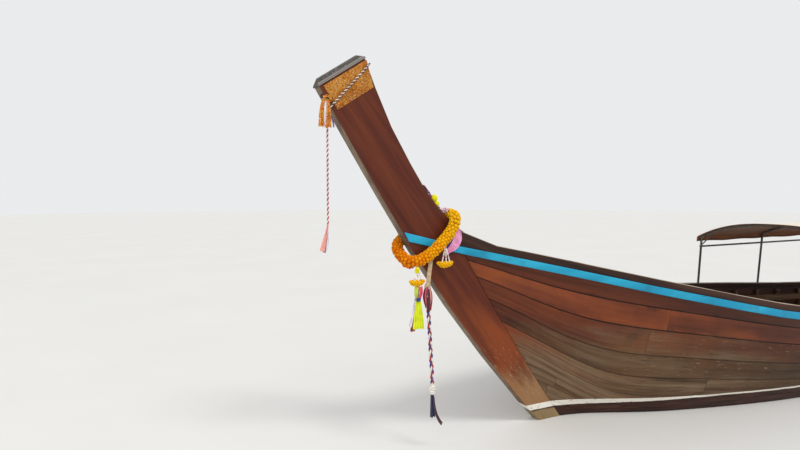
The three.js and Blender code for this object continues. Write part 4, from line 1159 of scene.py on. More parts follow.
# %% Knot and tail the braid
BRAID_FOOT = Vector((5.410, 0.160, 0.5533))
low_knot = wound("braid_low_knot", BRAID_FOOT - Vector((0, 0, 0.050)), 27 * MM, 80 * MM, 9.5 * MM, 3, WHITE)
fit(low_knot, "hull", "plait")
braid_strips = [
    ribbon("tail_navy", [(5.410, 0.160, 0.470), (5.409, 0.161, 0.40), (5.4075, 0.162, 0.33),
                         (5.406, 0.162, 0.270)], lambda s: 0.034 + 0.008 * s, [NAVY], folds=1.6, depth=0.008,
           ragged=0.008, seed=4),
    ribbon("tail_violet", [(5.402, 0.157, 0.470), (5.398, 0.156, 0.40), (5.393, 0.156, 0.33),
                           (5.388, 0.156, 0.285)], 0.014, [LILAC], folds=0.8, depth=0.004, seed=5),
    ribbon("tail_maroon", [(5.401, 0.164, 0.440), (5.393, 0.165, 0.36), (5.374, 0.165, 0.29),
                           (5.346, 0.165, 0.235), (5.322, 0.165, 0.203)], lambda s: 0.016 + 0.010 * s,
           [MAROON], folds=1, depth=0.004, ragged=0.01, seed=6),
    ribbon("tail_white_edge", [(5.418, 0.158, 0.46), (5.419, 0.157, 0.38), (5.418, 0.157, 0.30),
                               (5.4165, 0.157, 0.262)], 0.008, [SNOW], folds=0.5, depth=0.002, seed=7),
]
braid_tail = join("braid_tails", braid_strips)
fit(braid_tail, "hull", "plait", "braid_tail")
line_length(braid_line)
cloth(braid_tail, 0.30)
print("braid's tails", len(braid_tail.data.polygons), "faces")

# %% [markdown]
# ## Ribbons round the top of the braid
# Six short ribbons are tied in with the braid's top knot. Each starts close to the knot,
# swells out round the cord and comes in again at its foot.

# %% Gather ribbons round the top of the braid
top_ribbons = []
for i, (dx, dy, low, satin_finish) in enumerate((
    (-0.012, 0.016, 1.150, CRIMSON), (0.014, 0.014, 1.178, ROSE), (0.006, 0.022, 1.140, MAROON),
    (-0.018, -0.004, 1.190, BLUE), (0.018, -0.010, 1.165, CRIMSON), (0.0, 0.020, 1.205, CORAL),
)):
    start = (5.456 + dx * 0.6, 0.160 + dy * 0.7, 1.338)
    middle = (5.4555 + dx * 1.15, 0.160 + dy * 1.2, 1.262)
    foot = (5.450 + dx * 0.55, 0.160 + dy * 0.9, low)
    top_ribbons.append(ribbon(f"top_{i}", [start, middle, foot],
                              lambda s: 0.020 + 0.016 * math.sin(math.pi * s), [satin_finish],
                              folds=1.2, depth=0.005, seed=10 + i))
braid_ribbons = join("braid_ribbons", top_ribbons)
fit(braid_ribbons, "hull", "plait")
cloth(braid_ribbons, 0.19)
print("ribbons round the braid", len(braid_ribbons.data.polygons), "faces")

# %% [markdown]
# ## The bunch of ribbons
# Under the front hanger a bunch of ribbons is gathered by a blue tie. Above the tie there
# are three short flat ones, lime, rose and violet. Below it two broad yellow ones spread
# into pleats, with white, crimson and coral ones beside them. Each is a strip with its own
# folds, and one table holds what differs from strip to strip.

# %% Gather the bunch
BUNCH_X, BUNCH_Y = 5.534, 0.140
BUNCH_TOP, BUNCH_TIE = 1.343, 1.240
BUNCH = [
    # offset at the tie and foot, how far outboard, foot's height, width at tie and foot, folds, finish
    (0.002, 0.000, 0.012, 1.006, 0.040, 0.098, 4.2, SUNNY),
    (0.004, -0.006, 0.000, 1.020, 0.036, 0.086, 3.3, SUNNY),
    (0.018, 0.052, 0.004, 1.032, 0.016, 0.034, 1.4, SNOW),
    (0.014, 0.026, -0.012, 0.984, 0.016, 0.036, 2.0, CRIMSON),
    (0.008, 0.020, -0.020, 0.990, 0.016, 0.034, 1.6, CORAL),
]
strips = []
for i, (dx, spread, out, foot, neck, wide, folds, finish) in enumerate(BUNCH):
    points = [(BUNCH_X + dx, BUNCH_Y + out * 0.5, BUNCH_TIE + 0.006),
              (BUNCH_X + dx + 0.35 * spread, BUNCH_Y + out, BUNCH_TIE - 0.08),
              (BUNCH_X + dx + spread, BUNCH_Y + out * 1.4, foot)]
    strips.append(ribbon(f"bunch_{i}", points, lambda s, a=neck, b=wide: a + (b - a) * s ** 0.8, [finish],
                         folds=folds, depth=0.008, ragged=0.006, columns=34, seed=20 + i))
for i, (dx, out, finish) in enumerate(((0.017, 0.010, LIME), (-0.016, 0.012, ROSE), (0.0, -0.008, LILAC))):
    points = [(BUNCH_X + dx, BUNCH_Y + out, BUNCH_TOP),
              (BUNCH_X + dx * 1.35, BUNCH_Y + out * 1.3, 1.295),
              (BUNCH_X + dx * 0.6, BUNCH_Y + out * 0.7, BUNCH_TIE - 0.004)]
    strips.append(ribbon(f"upper_{i}", points, lambda s: 0.038 - 0.012 * s, [finish], folds=1.1, depth=0.005,
                         seed=30 + i))
tie = wound("bunch_tie", (BUNCH_X, BUNCH_Y, BUNCH_TIE), 25 * MM, 26 * MM, 6 * MM, 2.5, BLUE)
ribbon_bunch = join("ribbon_bunch_satin", [*strips, tie])
fit(ribbon_bunch, "hull", "yellow_cloth", "ribbon_bunch")
cloth(ribbon_bunch, 0.25)
print("bunch", len(ribbon_bunch.data.polygons), "faces")

# %% [markdown]
# ## Sash and tie
# A pink satin sash with a violet edge is wrapped behind the garland, and a strip of tan
# cotton comes out from under it, swings clear of the stem and carries the braid's knot.

# %% Wrap the sash and hang the tie
sash = ribbon("sash_satin", [(5.172, 0.0752, 1.806), (5.146, 0.0760, 1.758), (5.144, 0.0762, 1.700),
                             (5.176, 0.0758, 1.648), (5.228, 0.0750, 1.606)],
              lambda s: 0.062 + 0.056 * math.sin(math.pi * min(1, 1.1 * s)), [PINK, LILAC],
              folds=4.5, depth=0.0034, columns=44, split=0.70, thick=1.5 * MM, seed=5)
fit(sash, "hull", "pink_cloth", "sash")
cloth(sash, 0.23)
tie_strip = ribbon("tie_cotton", [(5.352, 0.0585, 1.606), (5.366, 0.067, 1.574), (5.395, 0.100, 1.510),
                                  (5.436, 0.146, 1.420), (5.453, 0.160, 1.366)], 0.038, [TAN], folds=1.6,
                   depth=0.0025, seed=9)
fit(tie_strip, "hull", "tan_cloth", "tie_cloth")
cloth(tie_strip, 0.27)
print("sash", len(sash.data.polygons), "faces, tie", len(tie_strip.data.polygons))

# %% [markdown]
# ## Flower heads
# A marigold is a ball of ruffled petals. One small ball is modelled from a sphere: every
# other point is pushed in, so that it ruffles, and it is flattened a little. Hundreds of
# copies are then set side by side in one mesh, so the ball has only a few dozen faces.
# Each copy keeps two numbers for its material: its tone, and where its petals stand out, which the material
# turns into painted shade between the petals.

# %% Model one flower and scatter it


def flower_model(around, rings, flat, ruffle):
    """A ruffled ball of radius 1: its points, faces, and which points stand out."""
    bpy.ops.object.select_all(action="DESELECT")
    bpy.ops.mesh.primitive_uv_sphere_add(segments=around, ring_count=rings, radius=1)
    ball = bpy.context.active_object
    bpy.ops.object.mode_set(mode="EDIT")
    bpy.ops.mesh.select_all(action="DESELECT")
    bpy.ops.object.mode_set(mode="OBJECT")
    inner = []
    for vertex in ball.data.vertices:
        ring = round(math.acos(max(-1, min(1, vertex.co.z))) / math.pi * rings)
        turn = round(math.atan2(vertex.co.y, vertex.co.x) / (2 * math.pi) * around)
        inner.append((ring + turn) % 2 == 1)
    for vertex, inside in zip(ball.data.vertices, inner):
        vertex.select = inside
    bpy.ops.object.mode_set(mode="EDIT")
    bpy.ops.transform.resize(value=(1 - ruffle, 1 - ruffle, 1 - ruffle))
    bpy.ops.mesh.select_all(action="SELECT")
    bpy.ops.transform.resize(value=(1, 1, flat))
    bpy.ops.object.mode_set(mode="OBJECT")
    points = [vertex.co.copy() for vertex in ball.data.vertices]
    faces = [tuple(polygon.vertices) for polygon in ball.data.polygons]
    stand = [0.0 if inside else 1.0 for inside in inner]
    bpy.data.objects.remove(ball)
    return points, faces, stand


def scatter(name, model, places):
    """One mesh from many copies: each place is a matrix and a tone between 0 and 1."""
    points, faces, stand = model
    mesh = bpy.data.meshes.new(name)
    every, polygons, tones, stands = [], [], [], []
    for matrix, tone in places:
        base = len(every)
        every.extend(matrix @ p for p in points)
        polygons.extend(tuple(base + v for v in face) for face in faces)
        tones.extend([tone] * len(points))
        stands.extend(stand)
    mesh.from_pydata([tuple(p) for p in every], [], polygons)
    mesh.attributes.new("tone", "FLOAT", "POINT").data.foreach_set("value", tones)
    mesh.attributes.new("stand", "FLOAT", "POINT").data.foreach_set("value", stands)
    piece = bpy.data.objects.new(name, mesh)
    bpy.context.scene.collection.objects.link(piece)
    for polygon in mesh.polygons:
        polygon.use_smooth = True
    return piece


FLOWER = flower_model(12, 6, 0.80, 0.30)
BUD = flower_model(7, 4, 1.25, 0.04)
POMPOM = flower_model(26, 15, 0.94, 0.11)
print("a flower has", len(FLOWER[1]), "faces, a pompom", len(POMPOM[1]))

# %% [markdown]
# ## Petals
# All the flowers share one finish with different colours. A ramp turns the tone of each flower into its
# colour, so one mesh can hold flowers of many colours. The points that were pushed in get painted shade, as
# if shade fell between the petals, and the tips a little painted light.

# %% Colour the petals


def petals(name, *stops):
    """Petals coloured by their flower's tone, with painted shade between the petals and painted light at the
    tips.
    """
    f = Finish(name, Specular_IOR_Level=0.12)
    tone, stand = f.tag("tone"), f.tag("stand")
    place = f.place()
    speck = f.noise(place, 160, 3, 0.6)
    colour = f.ramp(tone + 0.18 * (speck - 0.5), *((p, rgb(c)) for p, c in stops))
    # Painted shade: points pushed in between the petals are darkened, and the tips are lightened.
    colour = f.shade(colour, 0.60 + 0.46 * stand + 0.20 * speck)
    return f.finish(colour, 0.75, f.noise(place, 420, 3, 0.6), 0.0012)


MARIGOLD = petals("marigold_petals", (0.05, "#dd5c04"), (0.35, "#f58a02"), (0.65, "#ffae06"),
                  (0.95, "#ffc814"))
BRIGHT = petals("bright_petals", (0.1, "#ecd90c"), (0.9, "#f6f021"))
POSY = petals("posy_petals", (0.10, "#f2ece6"), (0.36, "#f0b8cc"), (0.60, "#e2568c"), (0.80, "#6a3a8a"),
              (0.95, "#3a2a5a"))
JASMINE = petals("jasmine_buds", (0.2, "#f3efe6"), (0.8, "#e9e2d2"), (0.97, "#d98aa0"))
print("petals of marigold, bright yellow, mixed and jasmine")

# %% [markdown]
# ## Setting flowers in rows
# A flower faces outwards from the string that it is threaded on, with a random turn and a
# small random lean. Round a rope the flowers sit in rows, and each row is turned by half a
# flower against the last, as they settle when they are pushed together.

# %% Set flowers along a line
SUNK = 0.55
SPACED = 1.42
petal_dice = random.Random(31)


def outward_at(p, out, size, tone):
    """The matrix that sets a flower at p, facing out, with a random turn about its stalk."""
    turn = Matrix.Rotation(petal_dice.uniform(0, 6.28), 4, "Z")
    tilt = Vector(out) + Vector([petal_dice.uniform(-0.25, 0.25) for _ in range(3)])
    face = tilt.to_track_quat("Z", "Y").to_matrix().to_4x4()
    return Matrix.Translation(p) @ face @ turn @ Matrix.Scale(size, 4), tone


def flower_rope(line, radius, head, tone_at, pitch):
    """Places of flowers all round a line, row by row, each row turned by half a flower."""
    frames = cross_frames(line)
    away, row = 0.0, 0
    places = []
    for i, (p, (a, b)) in enumerate(zip(line, frames)):
        if i:
            away += (p - line[i - 1]).length
        if away < row * pitch:
            continue
        share = i / (len(line) - 1)
        reach = radius(share) - SUNK * head
        count = max(4, round(2 * math.pi * reach / (SPACED * head)))
        for k in range(count):
            turn = 2 * math.pi * (k + 0.5 * (row % 2)) / count + petal_dice.uniform(-0.1, 0.1)
            out = a * math.cos(turn) + b * math.sin(turn)
            size = head * petal_dice.uniform(0.9, 1.12)
            place = p + out * reach
            tone = tone_at(place) + petal_dice.uniform(-0.14, 0.14)
            places.append(outward_at(place, out, size, tone))
        row += 1
    return places


print("a flower is sunk into its rope by", SUNK, "of its size")

# %% [markdown]
# ## The garland
# Marigold heads are threaded on string and wound into a thick rope, which hangs round the stem. The flowers
# are scattered row by row round the rope's line, yellow at the top and aft, and a darker orange low and in
# front.

# %% Thread the garland
GARLAND_ROUTE = [
    (5.152, 0.0004, 1.908), (5.152, 0.062, 1.896), (5.176, 0.118, 1.852), (5.222, 0.120, 1.766),
    (5.307, 0.120, 1.680), (5.400, 0.120, 1.602), (5.495, 0.118, 1.552), (5.578, 0.078, 1.540),
    (5.612, 0.0, 1.582), (5.606, -0.080, 1.645), (5.545, -0.1197, 1.700), (5.420, -0.1197, 1.762),
    (5.290, -0.1197, 1.826), (5.176, -0.118, 1.872), (5.152, -0.062, 1.900), (5.152, -0.0004, 1.908),
]
GARLAND_RADIUS = 0.0455
HEAD_SIZE = 0.0185
ROW_PITCH = 0.0250


def garland_tone(place):
    """Yellow high up and aft, orange low and in front."""
    return 0.92 - 1.25 * (place.x - 5.16) - 0.35 * max(0.0, 1.62 - place.z)


garland_line = smooth_route(GARLAND_ROUTE, 0.004)
garland_places = flower_rope(garland_line, lambda share: GARLAND_RADIUS, HEAD_SIZE, garland_tone, ROW_PITCH)
garland = wear(scatter("garland_flowers", FLOWER, garland_places), MARIGOLD)
# A core tube fills the gaps between the heads. It has no stand numbers, so the petals' finish gives it the
# full painted shade.
core = wear(tube_mesh("garland_core", smooth_route(GARLAND_ROUTE, 0.02), 0.031, 12), MARIGOLD)
core_tones = [0.2] * len(core.data.vertices)
core.data.attributes.new("tone", "FLOAT", "POINT").data.foreach_set("value", core_tones)
garland = join("garland_marigold", [garland, core])
fit(garland, "hull", "marigold", "marigold_garland")
print("garland", len(garland_places), "flowers,", len(garland.data.polygons), "faces")

# %% [markdown]
# ## Jasmine strings
# Two bunches of jasmine buds hang from the garland, each on three strings that end at a
# small crescent of marigolds. The buds are the same small ball, drawn out instead of
# flattened, one every eleven millimetres or so.

# %% Hang the jasmine strings
BUD_PITCH = 0.0115
CRESCENT_HEAD = 0.0135
HANGER_TABLE = [
    # top of the strings, middle of the crescent, half its width
    ((5.272, 0.122, 1.660), (5.272, 0.120, 1.506), 0.066),
    ((5.536, 0.118, 1.508), (5.540, 0.138, 1.374), 0.058),
]
bud_places, crescent_places = [], []
for top, foot, half in HANGER_TABLE:
    top, foot = Vector(top), Vector(foot)
    for sweep in (-0.55, -0.05, 0.5):
        end = foot + Vector((sweep * half, 0.012, 0.022))
        count = round((top - end).length / BUD_PITCH)
        for i in range(count + 1):
            share = i / count
            p = top.lerp(end, share) + Vector((0, 0.004 * math.sin(3 * share), 0))
            size = petal_dice.uniform(0.0056, 0.0074)
            bud_places.append(outward_at(p, (0.2, 0.3, 1), size, petal_dice.choice((0.2, 0.5, 0.8, 0.97))))
    crescent = []
    for i in range(41):
        share = i / 40
        x = half * (2 * share - 1)
        crescent.append(foot + Vector((x, 0.0, 0.016 * (x / half) ** 2 - 0.004)))
    crescent_places += flower_rope(crescent, lambda share: 0.0105 + 0.0155 * math.sin(math.pi * share) ** 0.6,
                                   CRESCENT_HEAD, lambda place: 0.86, CRESCENT_HEAD)
hangers = join("hanger_flowers", [wear(scatter("buds", BUD, bud_places), JASMINE),
                                  wear(scatter("crescents", FLOWER, crescent_places), MARIGOLD)])
fit(hangers, "hull", "marigold")
print("hangers", len(bud_places), "buds,", len(crescent_places), "flowers")

# %% [markdown]
# ## Flowers up the prow
# A thin string of small mixed flowers goes on from the garland up the aft edge of the
# prow, pale at first and pink to violet further up. A tight cluster sits at its foot, and
# some larger round heads are tied in here and at the front hanger.

# %% String the flowers up the prow
CHAIN_ROUTE = [(5.190, 0.0, 1.926), (5.229, 0.0, 1.932), (5.294, 0.0, 1.998), (5.353, 0.0, 2.071),
               (5.405, 0.0, 2.136)]
CHAIN_FOOT = Vector((5.195, 0.0, 1.938))
ROUND_THE_STRING = 5
FOOT_FLOWERS = 26
PALE = (0.10, 0.2, 0.36)
PINK_TO_VIOLET = (0.36, 0.6, 0.80, 0.95)


def tossed(low_x, high_x, low_z):
    """A random direction within limits fore and aft and downwards."""
    x = petal_dice.uniform(low_x, high_x)
    y = petal_dice.uniform(-1, 1)
    return Vector((x, y, petal_dice.uniform(low_z, 1))).normalized()


chain_places = []
chain_line = smooth_route(CHAIN_ROUTE, 0.0125)
for i, p in enumerate(chain_line):
    share = i / (len(chain_line) - 1)
    for _ in range(ROUND_THE_STRING):
        out = tossed(-1, 0.25, -0.4)
        tone = petal_dice.choice(PALE if share < 0.45 else PINK_TO_VIOLET)
        chain_places.append(outward_at(p + out * 0.011, out, petal_dice.uniform(0.0065, 0.0095), tone))
for _ in range(FOOT_FLOWERS):
    out = tossed(-1, 1, -0.2)
    tone = petal_dice.choice((*PALE, PALE[-1]))
    chain_places.append(outward_at(CHAIN_FOOT + out * 0.022, out, 0.011, tone))
HEADS = [((5.308, 0.0, 2.040), 0.033), ((5.286, 0.006, 1.996), 0.025), ((5.537, 0.142, 1.484), 0.017),
         ((5.549, 0.138, 1.462), 0.013), ((5.526, 0.140, 1.458), 0.012)]
ORANGE_HEADS = [((5.606, 0.054, 1.512), 0.022, 0.15), ((5.588, 0.070, 1.500), 0.018, 0.25)]
ROSE_MIDDLE = Vector((5.562, 0.078, 1.497))
ROSE_SPOTS = ((0, 0), (0.012, -0.010), (-0.012, -0.006), (0.004, 0.012))
heads = [outward_at(Vector(p), (-0.3, 0.6, 0.4), size, 0.6) for p, size in HEADS]
orange = [outward_at(Vector(p), (0.6, 0.6, 0), size, tone) for p, size, tone in ORANGE_HEADS]
rose = [outward_at(ROSE_MIDDLE + Vector((dx, 0, dz)), (0.2, 1, -0.2), 0.0125, 0.62) for dx, dz in ROSE_SPOTS]
flower_chain = join("flower_chain", [
    wear(scatter("chain", FLOWER, chain_places), POSY),
    wear(scatter("heads", POMPOM, heads), BRIGHT),
    wear(scatter("orange", POMPOM, orange), MARIGOLD),
    wear(scatter("rose", FLOWER, rose), POSY),
])
fit(flower_chain, "hull", "marigold")
print("chain", len(flower_chain.data.polygons), "faces")

# %% [markdown]
# ## The cap on the prow
# The top of the prow wears a cap of tarred boards, nearly black, rubbed grey along its
# edges and chalky in patches. Its shape comes from the frame, so it only needs rounded
# edges and a finish with the joints of its boards.

# %% Finish the cap


def cap_finish():
    """Tarred wood on the head of the prow, nearly black, rubbed grey along its edges."""
    f = Finish("tarred_cap", Specular_IOR_Level=0.3)
    place = f.place()
    along = f.along(place, Vector((0.80, 0, -0.46)))
    across = f.part(place, "Y")
    streak, fibre, patch = grain_of(f, along, across, 41.0)
    dark = f.ramp(streak, (0.3, rgb("#2b2827")), (0.5, rgb("#4a4644")), (0.7, rgb("#6a6562")))
    rubbed = f.step(f.size(across) + 0.012 * (patch - 0.5), 0.046, 0.057)
    chalk = f.step(f.noise(place, 26, 4, 0.65), 0.52, 0.66)
    plank = f.step(f.size(f.fraction(across / 0.030) - 0.5), 0.46, 0.49)
    colour = f.mix(rubbed * 0.7, dark, rgb("#9c948b"))
    colour = f.mix(chalk * 0.45, colour, rgb("#8d8681"))
    colour = f.mix(plank * 0.8, colour, rgb("#191615"))
    colour = f.shade(colour, 0.78 + 0.45 * fibre)
    return f.finish(colour, 0.6 + 0.2 * patch, 0.6 * streak + 0.5 * fibre - plank, 0.002)


refined("prow_head_cap", 3 * MM, "hull", "grey_paint", cap_finish(), 3, flat=0.5)
print("cap done")

# %% [markdown]
# ## Patterned cloth round the head
# Below the cap is a band of cloth, printed all over with small gold and brown sprigs. A
# picture of the pattern isn't needed: a cell texture gives each sprig its own place, and
# the random colour of its cell picks the sprig's colour from a ramp.

# %% Wrap the cloth band
SPRIGS_PER_METRE = 105


def brocade(name, light):
    """Small sprigs of gold, brown and pale green on orange cloth, with a woven grain."""
    f = Finish(name, Specular_IOR_Level=0.2)
    place = f.place()
    x, y, z = (f.part(place, axis) for axis in "XYZ")
    wobble = f.noise(place, 55, 3)
    spot = f.cells(place, SPRIGS_PER_METRE, "Distance")
    seeds = f.part(f.cells(place, SPRIGS_PER_METRE, "Color"), "X")
    ground = f.ramp(f.noise(place, 13, 3), (0.35, rgb("#a8540f")), (0.5, rgb("#c67620")),
                    (0.65, rgb("#d68f3a")))
    sprig = f.ramp(seeds, (0.12, rgb("#5c230c")), (0.34, rgb("#e0b464")), (0.52, rgb("#a85a18")),
                   (0.68, rgb("#8f8a3a")), (0.84, rgb("#ead09a")), (0.95, rgb("#7c2f10")))
    inside = f.step(spot + 0.25 * (wobble - 0.5), 0.52, 0.34)
    colour = f.mix(inside, ground, sprig)
    weave = f.sine((x + y) * 2400) * f.sine(z * 2400)
    colour = f.shade(colour, light + 0.3 * wobble + 0.05 * weave)
    return f.finish(colour, 0.72, 0.4 * weave + wobble - spot, 0.0016)


BROCADE = brocade("sprigged_cloth", 0.78)
PALER_CLOTH = brocade("paler_sprigged_cloth", 1.15)
refined("prow_cloth_band", 1.2 * MM, "hull", "gold_cloth", BROCADE, 2, flat=0.5)
print("cloth band done")

# %% [markdown]
# ## The slanting cord
# A cord twisted from white and brown yarn is pulled tight aslant round the band. It is
# made like the hanging one, but as it is taut all the way it isn't declared as a cord.

# %% Wind the slanting cord
SLANT_PITCH = 0.034
SLANT = [
    (6.224, 0.0685, 2.728), (6.070, 0.0685, 2.893), (5.929, 0.0680, 3.048), (5.9155, 0.056, 3.062),
    (5.9125, 0.0, 3.066), (5.9155, -0.056, 3.062), (5.929, -0.0680, 3.048), (6.070, -0.0685, 2.893),
    (6.224, -0.0685, 2.728), (6.241, -0.056, 2.711), (6.2440, 0.0, 2.708), (6.241, 0.056, 2.711),
    (6.2245, 0.0685, 2.7275),
]
BROWN = cloth_finish("brown_yarn", "#6d241c", "#4a1713")
slant_line = smooth_route(SLANT, 0.006)
slant_cord = twisted("slanting_cord", slant_line, SLANT_PITCH, 4.0 * MM, 4.4 * MM, WHITE, BROWN)
fit(slant_cord, "hull", "red_cord")
print("slanting cord", round(line_length(slant_line), 2), "m")

# %% [markdown]
# ## The bow in front
# The ends of the same cloth, in a paler copy of its finish, are tied in front in a bow: two gathered tails, a
# loop, a pale strip and a small scrap under the cord, with a dark knot on top.

# %% Tie the bow
bow_cloth = [
    ribbon("bow_fore", [(6.262, 0.066, 2.778), (6.290, 0.078, 2.762), (6.302, 0.076, 2.68),
                        (6.303, 0.072, 2.574)],
           lambda s: 0.018 + 0.030 * s, [PALER_CLOTH], folds=2.2, depth=0.006, ragged=0.006, columns=30, seed=41),
    ribbon("bow_aft", [(6.258, 0.064, 2.776), (6.252, 0.078, 2.752), (6.249, 0.078, 2.68),
                       (6.252, 0.074, 2.568)],
           lambda s: 0.020 + 0.032 * s, [PALER_CLOTH], folds=2.0, depth=0.006, ragged=0.006, columns=30, seed=42),
    ribbon("bow_pale", [(6.262, 0.064, 2.774), (6.270, 0.071, 2.74), (6.275, 0.070, 2.66),
                        (6.277, 0.068, 2.585)], 0.016, [SNOW], folds=1.0, depth=0.004, seed=43),
    ribbon("bow_loop", [(6.285, 0.060, 2.790), (6.262, 0.076, 2.800), (6.236, 0.074, 2.786),
                        (6.232, 0.066, 2.762), (6.256, 0.070, 2.768)],
           0.016, [PALER_CLOTH], folds=1.0, depth=0.003, seed=44),
    ribbon("scrap", [(6.238, 0.058, 2.690), (6.222, 0.060, 2.645), (6.209, 0.060, 2.600),
                     (6.205, 0.060, 2.572)],
           lambda s: 0.010 + 0.006 * s, [LILAC, SNOW], folds=0.6, depth=0.002, split=0.7, seed=45),
]
dark_knot = wound("dark_knot", (6.283, 0.030, 2.800), 15 * MM, 24 * MM, 5 * MM, 2.5, MAROON)
bow = join("head_bow", [*bow_cloth, dark_knot])
fit(bow, "hull", "gold_cloth", "head_tassel")
cloth(bow, 0.21)
print("bow", len(bow.data.polygons), "faces")

# %% [markdown]
# ## The canopy
# A cloth roof is stretched over three bent pipes. It is one sheet that sags a little
# between the pipes and hangs down as a short valance at the eaves. A cloth simulation
# would hardly move a sheet as tight as this, so a grid is laid on the roof's curve, and
# the sag and a few pulls are worked out.

# %% Lay the canopy on its curve
ROOF_FORE, ROOF_AFT = 0.710, -2.140
ROOF_PIPES = (0.650, -0.650, -1.950)
ROOF_HALF = 0.984
ROOF_CROWN, ROOF_EAVE = 1.690, 1.488
ROOF_OVER = 0.0190
VALANCE = 0.070
SAG = 0.014
BROW = 0.93
PIPE_HALF = 0.970
ROOF_BEND = 2.6
OVER_THE_ARCH = 2.3
ROOF_ROWS, ROOF_COLUMNS, VALANCE_ROWS = 96, 60, 6


def roof_height(y):
    """The height of the pipes' middle at y, nearly flat on top and steep at the eaves."""
    return ROOF_CROWN - (ROOF_CROWN - ROOF_EAVE) * min(1.0, abs(y) / PIPE_HALF) ** ROOF_BEND


def roof_sag(x):
    """The share of the full sag at x: none at the pipes, all of it halfway between two."""
    pipes = sorted(ROOF_PIPES)
    for low, high in zip(pipes, pipes[1:]):
        if low <= x <= high:
            return math.sin(math.pi * (x - low) / (high - low)) ** 2
    return 0.0


def roof_point(u, v):
    """u runs from aft to fore, and v from the starboard hem to the port one."""
    x = ROOF_AFT + (ROOF_FORE - ROOF_AFT) * u
    side = 1 if v > 0.5 else -1
    reach = abs(v - 0.5) * 2
    sag = roof_sag(x)
    if reach <= BROW:
        y = ROOF_HALF * (reach / BROW)
        z = roof_height(y) + ROOF_OVER - SAG * sag * (1 - 0.6 * (y / ROOF_HALF) ** 2)
        z += 0.0012 * math.sin(38 * x + 5 * y) * sag
        y -= 0.012 * sag * (y / ROOF_HALF) ** 3
    else:
        drop = (reach - BROW) / (1 - BROW)
        y = ROOF_HALF - 0.012 * sag + 0.0035 * drop * math.sin(19 * x + 1.0)
        z = roof_height(ROOF_HALF) + ROOF_OVER - drop * (VALANCE + 0.004 * math.sin(9 * x))
        z -= 0.0056 * sag * (1 - drop)
    return Vector((x, side * y, z))


bpy.ops.mesh.primitive_grid_add(x_subdivisions=ROOF_ROWS, y_subdivisions=ROOF_COLUMNS + 2 * VALANCE_ROWS,
                                size=1)
roof = bpy.context.active_object
roof_run = []
for vertex in roof.data.vertices:
    u, v = vertex.co.x + 0.5, vertex.co.y + 0.5
    roof_run.append((u * (ROOF_FORE - ROOF_AFT), (v - 0.5) * OVER_THE_ARCH))
    vertex.co = roof_point(u, v)
layer = roof.data.uv_layers.active
layer.name = "run"
for loop in roof.data.loops:
    layer.data[loop.index].uv = roof_run[loop.vertex_index]
if max(roof.data.polygons, key=lambda polygon: polygon.center.z).normal.z < 0:
    roof.data.flip_normals()
print("roof grid", len(roof.data.polygons), "faces")

# %% [markdown]
# ## Canvas, with painted light below
# The cloth is cream above, and its lower side is painted orange-brown, which stands for the sun shining
# through the canvas: painted light. Solidify gives it its thickness, and its material offset gives the lower
# side and the hem the second finish. Seams, stitches and stains follow the cloth through its UV map, which is
# in metres.

# %% Finish the canopy
SEAM_EVERY = 0.46


def canvas(name, colour, shade, stains):
    """Coated canvas in seamed widths, with rain stains and faint pulls at the seams."""
    f = Finish(name, Sheen_Weight=0.15)
    run = f.layer("run")
    place = f.place()
    along, across = f.part(run, "X"), f.part(run, "Y")
    weave = f.sine(along * 2100) * f.sine(across * 2100)
    from_middle = f.size(f.fraction(across / SEAM_EVERY) - 0.5)
    seam = f.step(from_middle, 0.478, 0.486)
    stitch = f.step(f.sine(along * 700), 0.1, 0.6) * f.step(from_middle, 0.462, 0.468)
    hem = f.step(f.size(across), 1.112, 1.118)
    blot = f.noise(place, 2.6, 5, 0.6)
    fine = f.noise(f.vector(along * 30, across * 6), 1, 3, 0.6)
    colour = f.mix(f.step(blot, 0.45, 0.72) * 0.55, rgb(colour), rgb(stains))
    colour = f.mix(seam * 0.5, colour, rgb(shade))
    colour = f.mix(hem * 0.6, colour, rgb(shade))
    colour = f.shade(colour, 0.90 + 0.16 * fine)
    return f.finish(colour, 0.72 + 0.1 * blot, 0.25 * weave + 1.2 * seam + fine + 0.5 * stitch, 0.0010)


CANVAS_TOP = canvas("cream_canvas", "#ece3cf", "#cbbd9f", "#cfc3a8")
# Painted light: the lower side's orange-brown stands for the sun shining through the canvas.
CANVAS_PAINTED_SUNLIT_UNDERSIDE = canvas("painted_sunlit_underside", "#a4683f", "#5f3424", "#8a5433")
wear(roof, CANVAS_TOP, CANVAS_PAINTED_SUNLIT_UNDERSIDE)
solidify = roof.modifiers.new("canvas_thickness", "SOLIDIFY")
solidify.thickness = 0.0045
solidify.offset = 0
solidify.material_offset = 1
solidify.material_offset_rim = 1
settle(roof, "canopy_cloth")
soften(roof, 50)
fit(roof, "hull", "canopy_cloth", "canopy_cover")
roof_length = ROOF_FORE - ROOF_AFT
roof_width = cloth_area(roof) / roof_length
print("canopy", round(roof_width, 2), "by", round(roof_length, 2), "m")

# %% [markdown]
# ## Lashings
# Thin line ties the cloth to each of its pipes in eight places. A lashing is three turns
# of a coil with a tight pitch, so a helix from a loop gives its line.

# %% Lash the canopy to its pipes
LASH_TURNS = 3
LASH_STEPS = 36
LASH_WIDE = 0.012
LASH_TURN_RADIUS = 0.0158
LINE_RADIUS = 0.0016


def lashing(x, y):
    """A few turns of thin line round a roof pipe at y."""
    line = []
    for i in range(LASH_STEPS + 1):
        share = i / LASH_STEPS
        a = 2 * math.pi * LASH_TURNS * share
        line.append(Vector((x + LASH_WIDE * (share - 0.5), y + LASH_TURN_RADIUS * math.sin(a),
                            roof_height(y) + LASH_TURN_RADIUS * math.cos(a))))
    return line


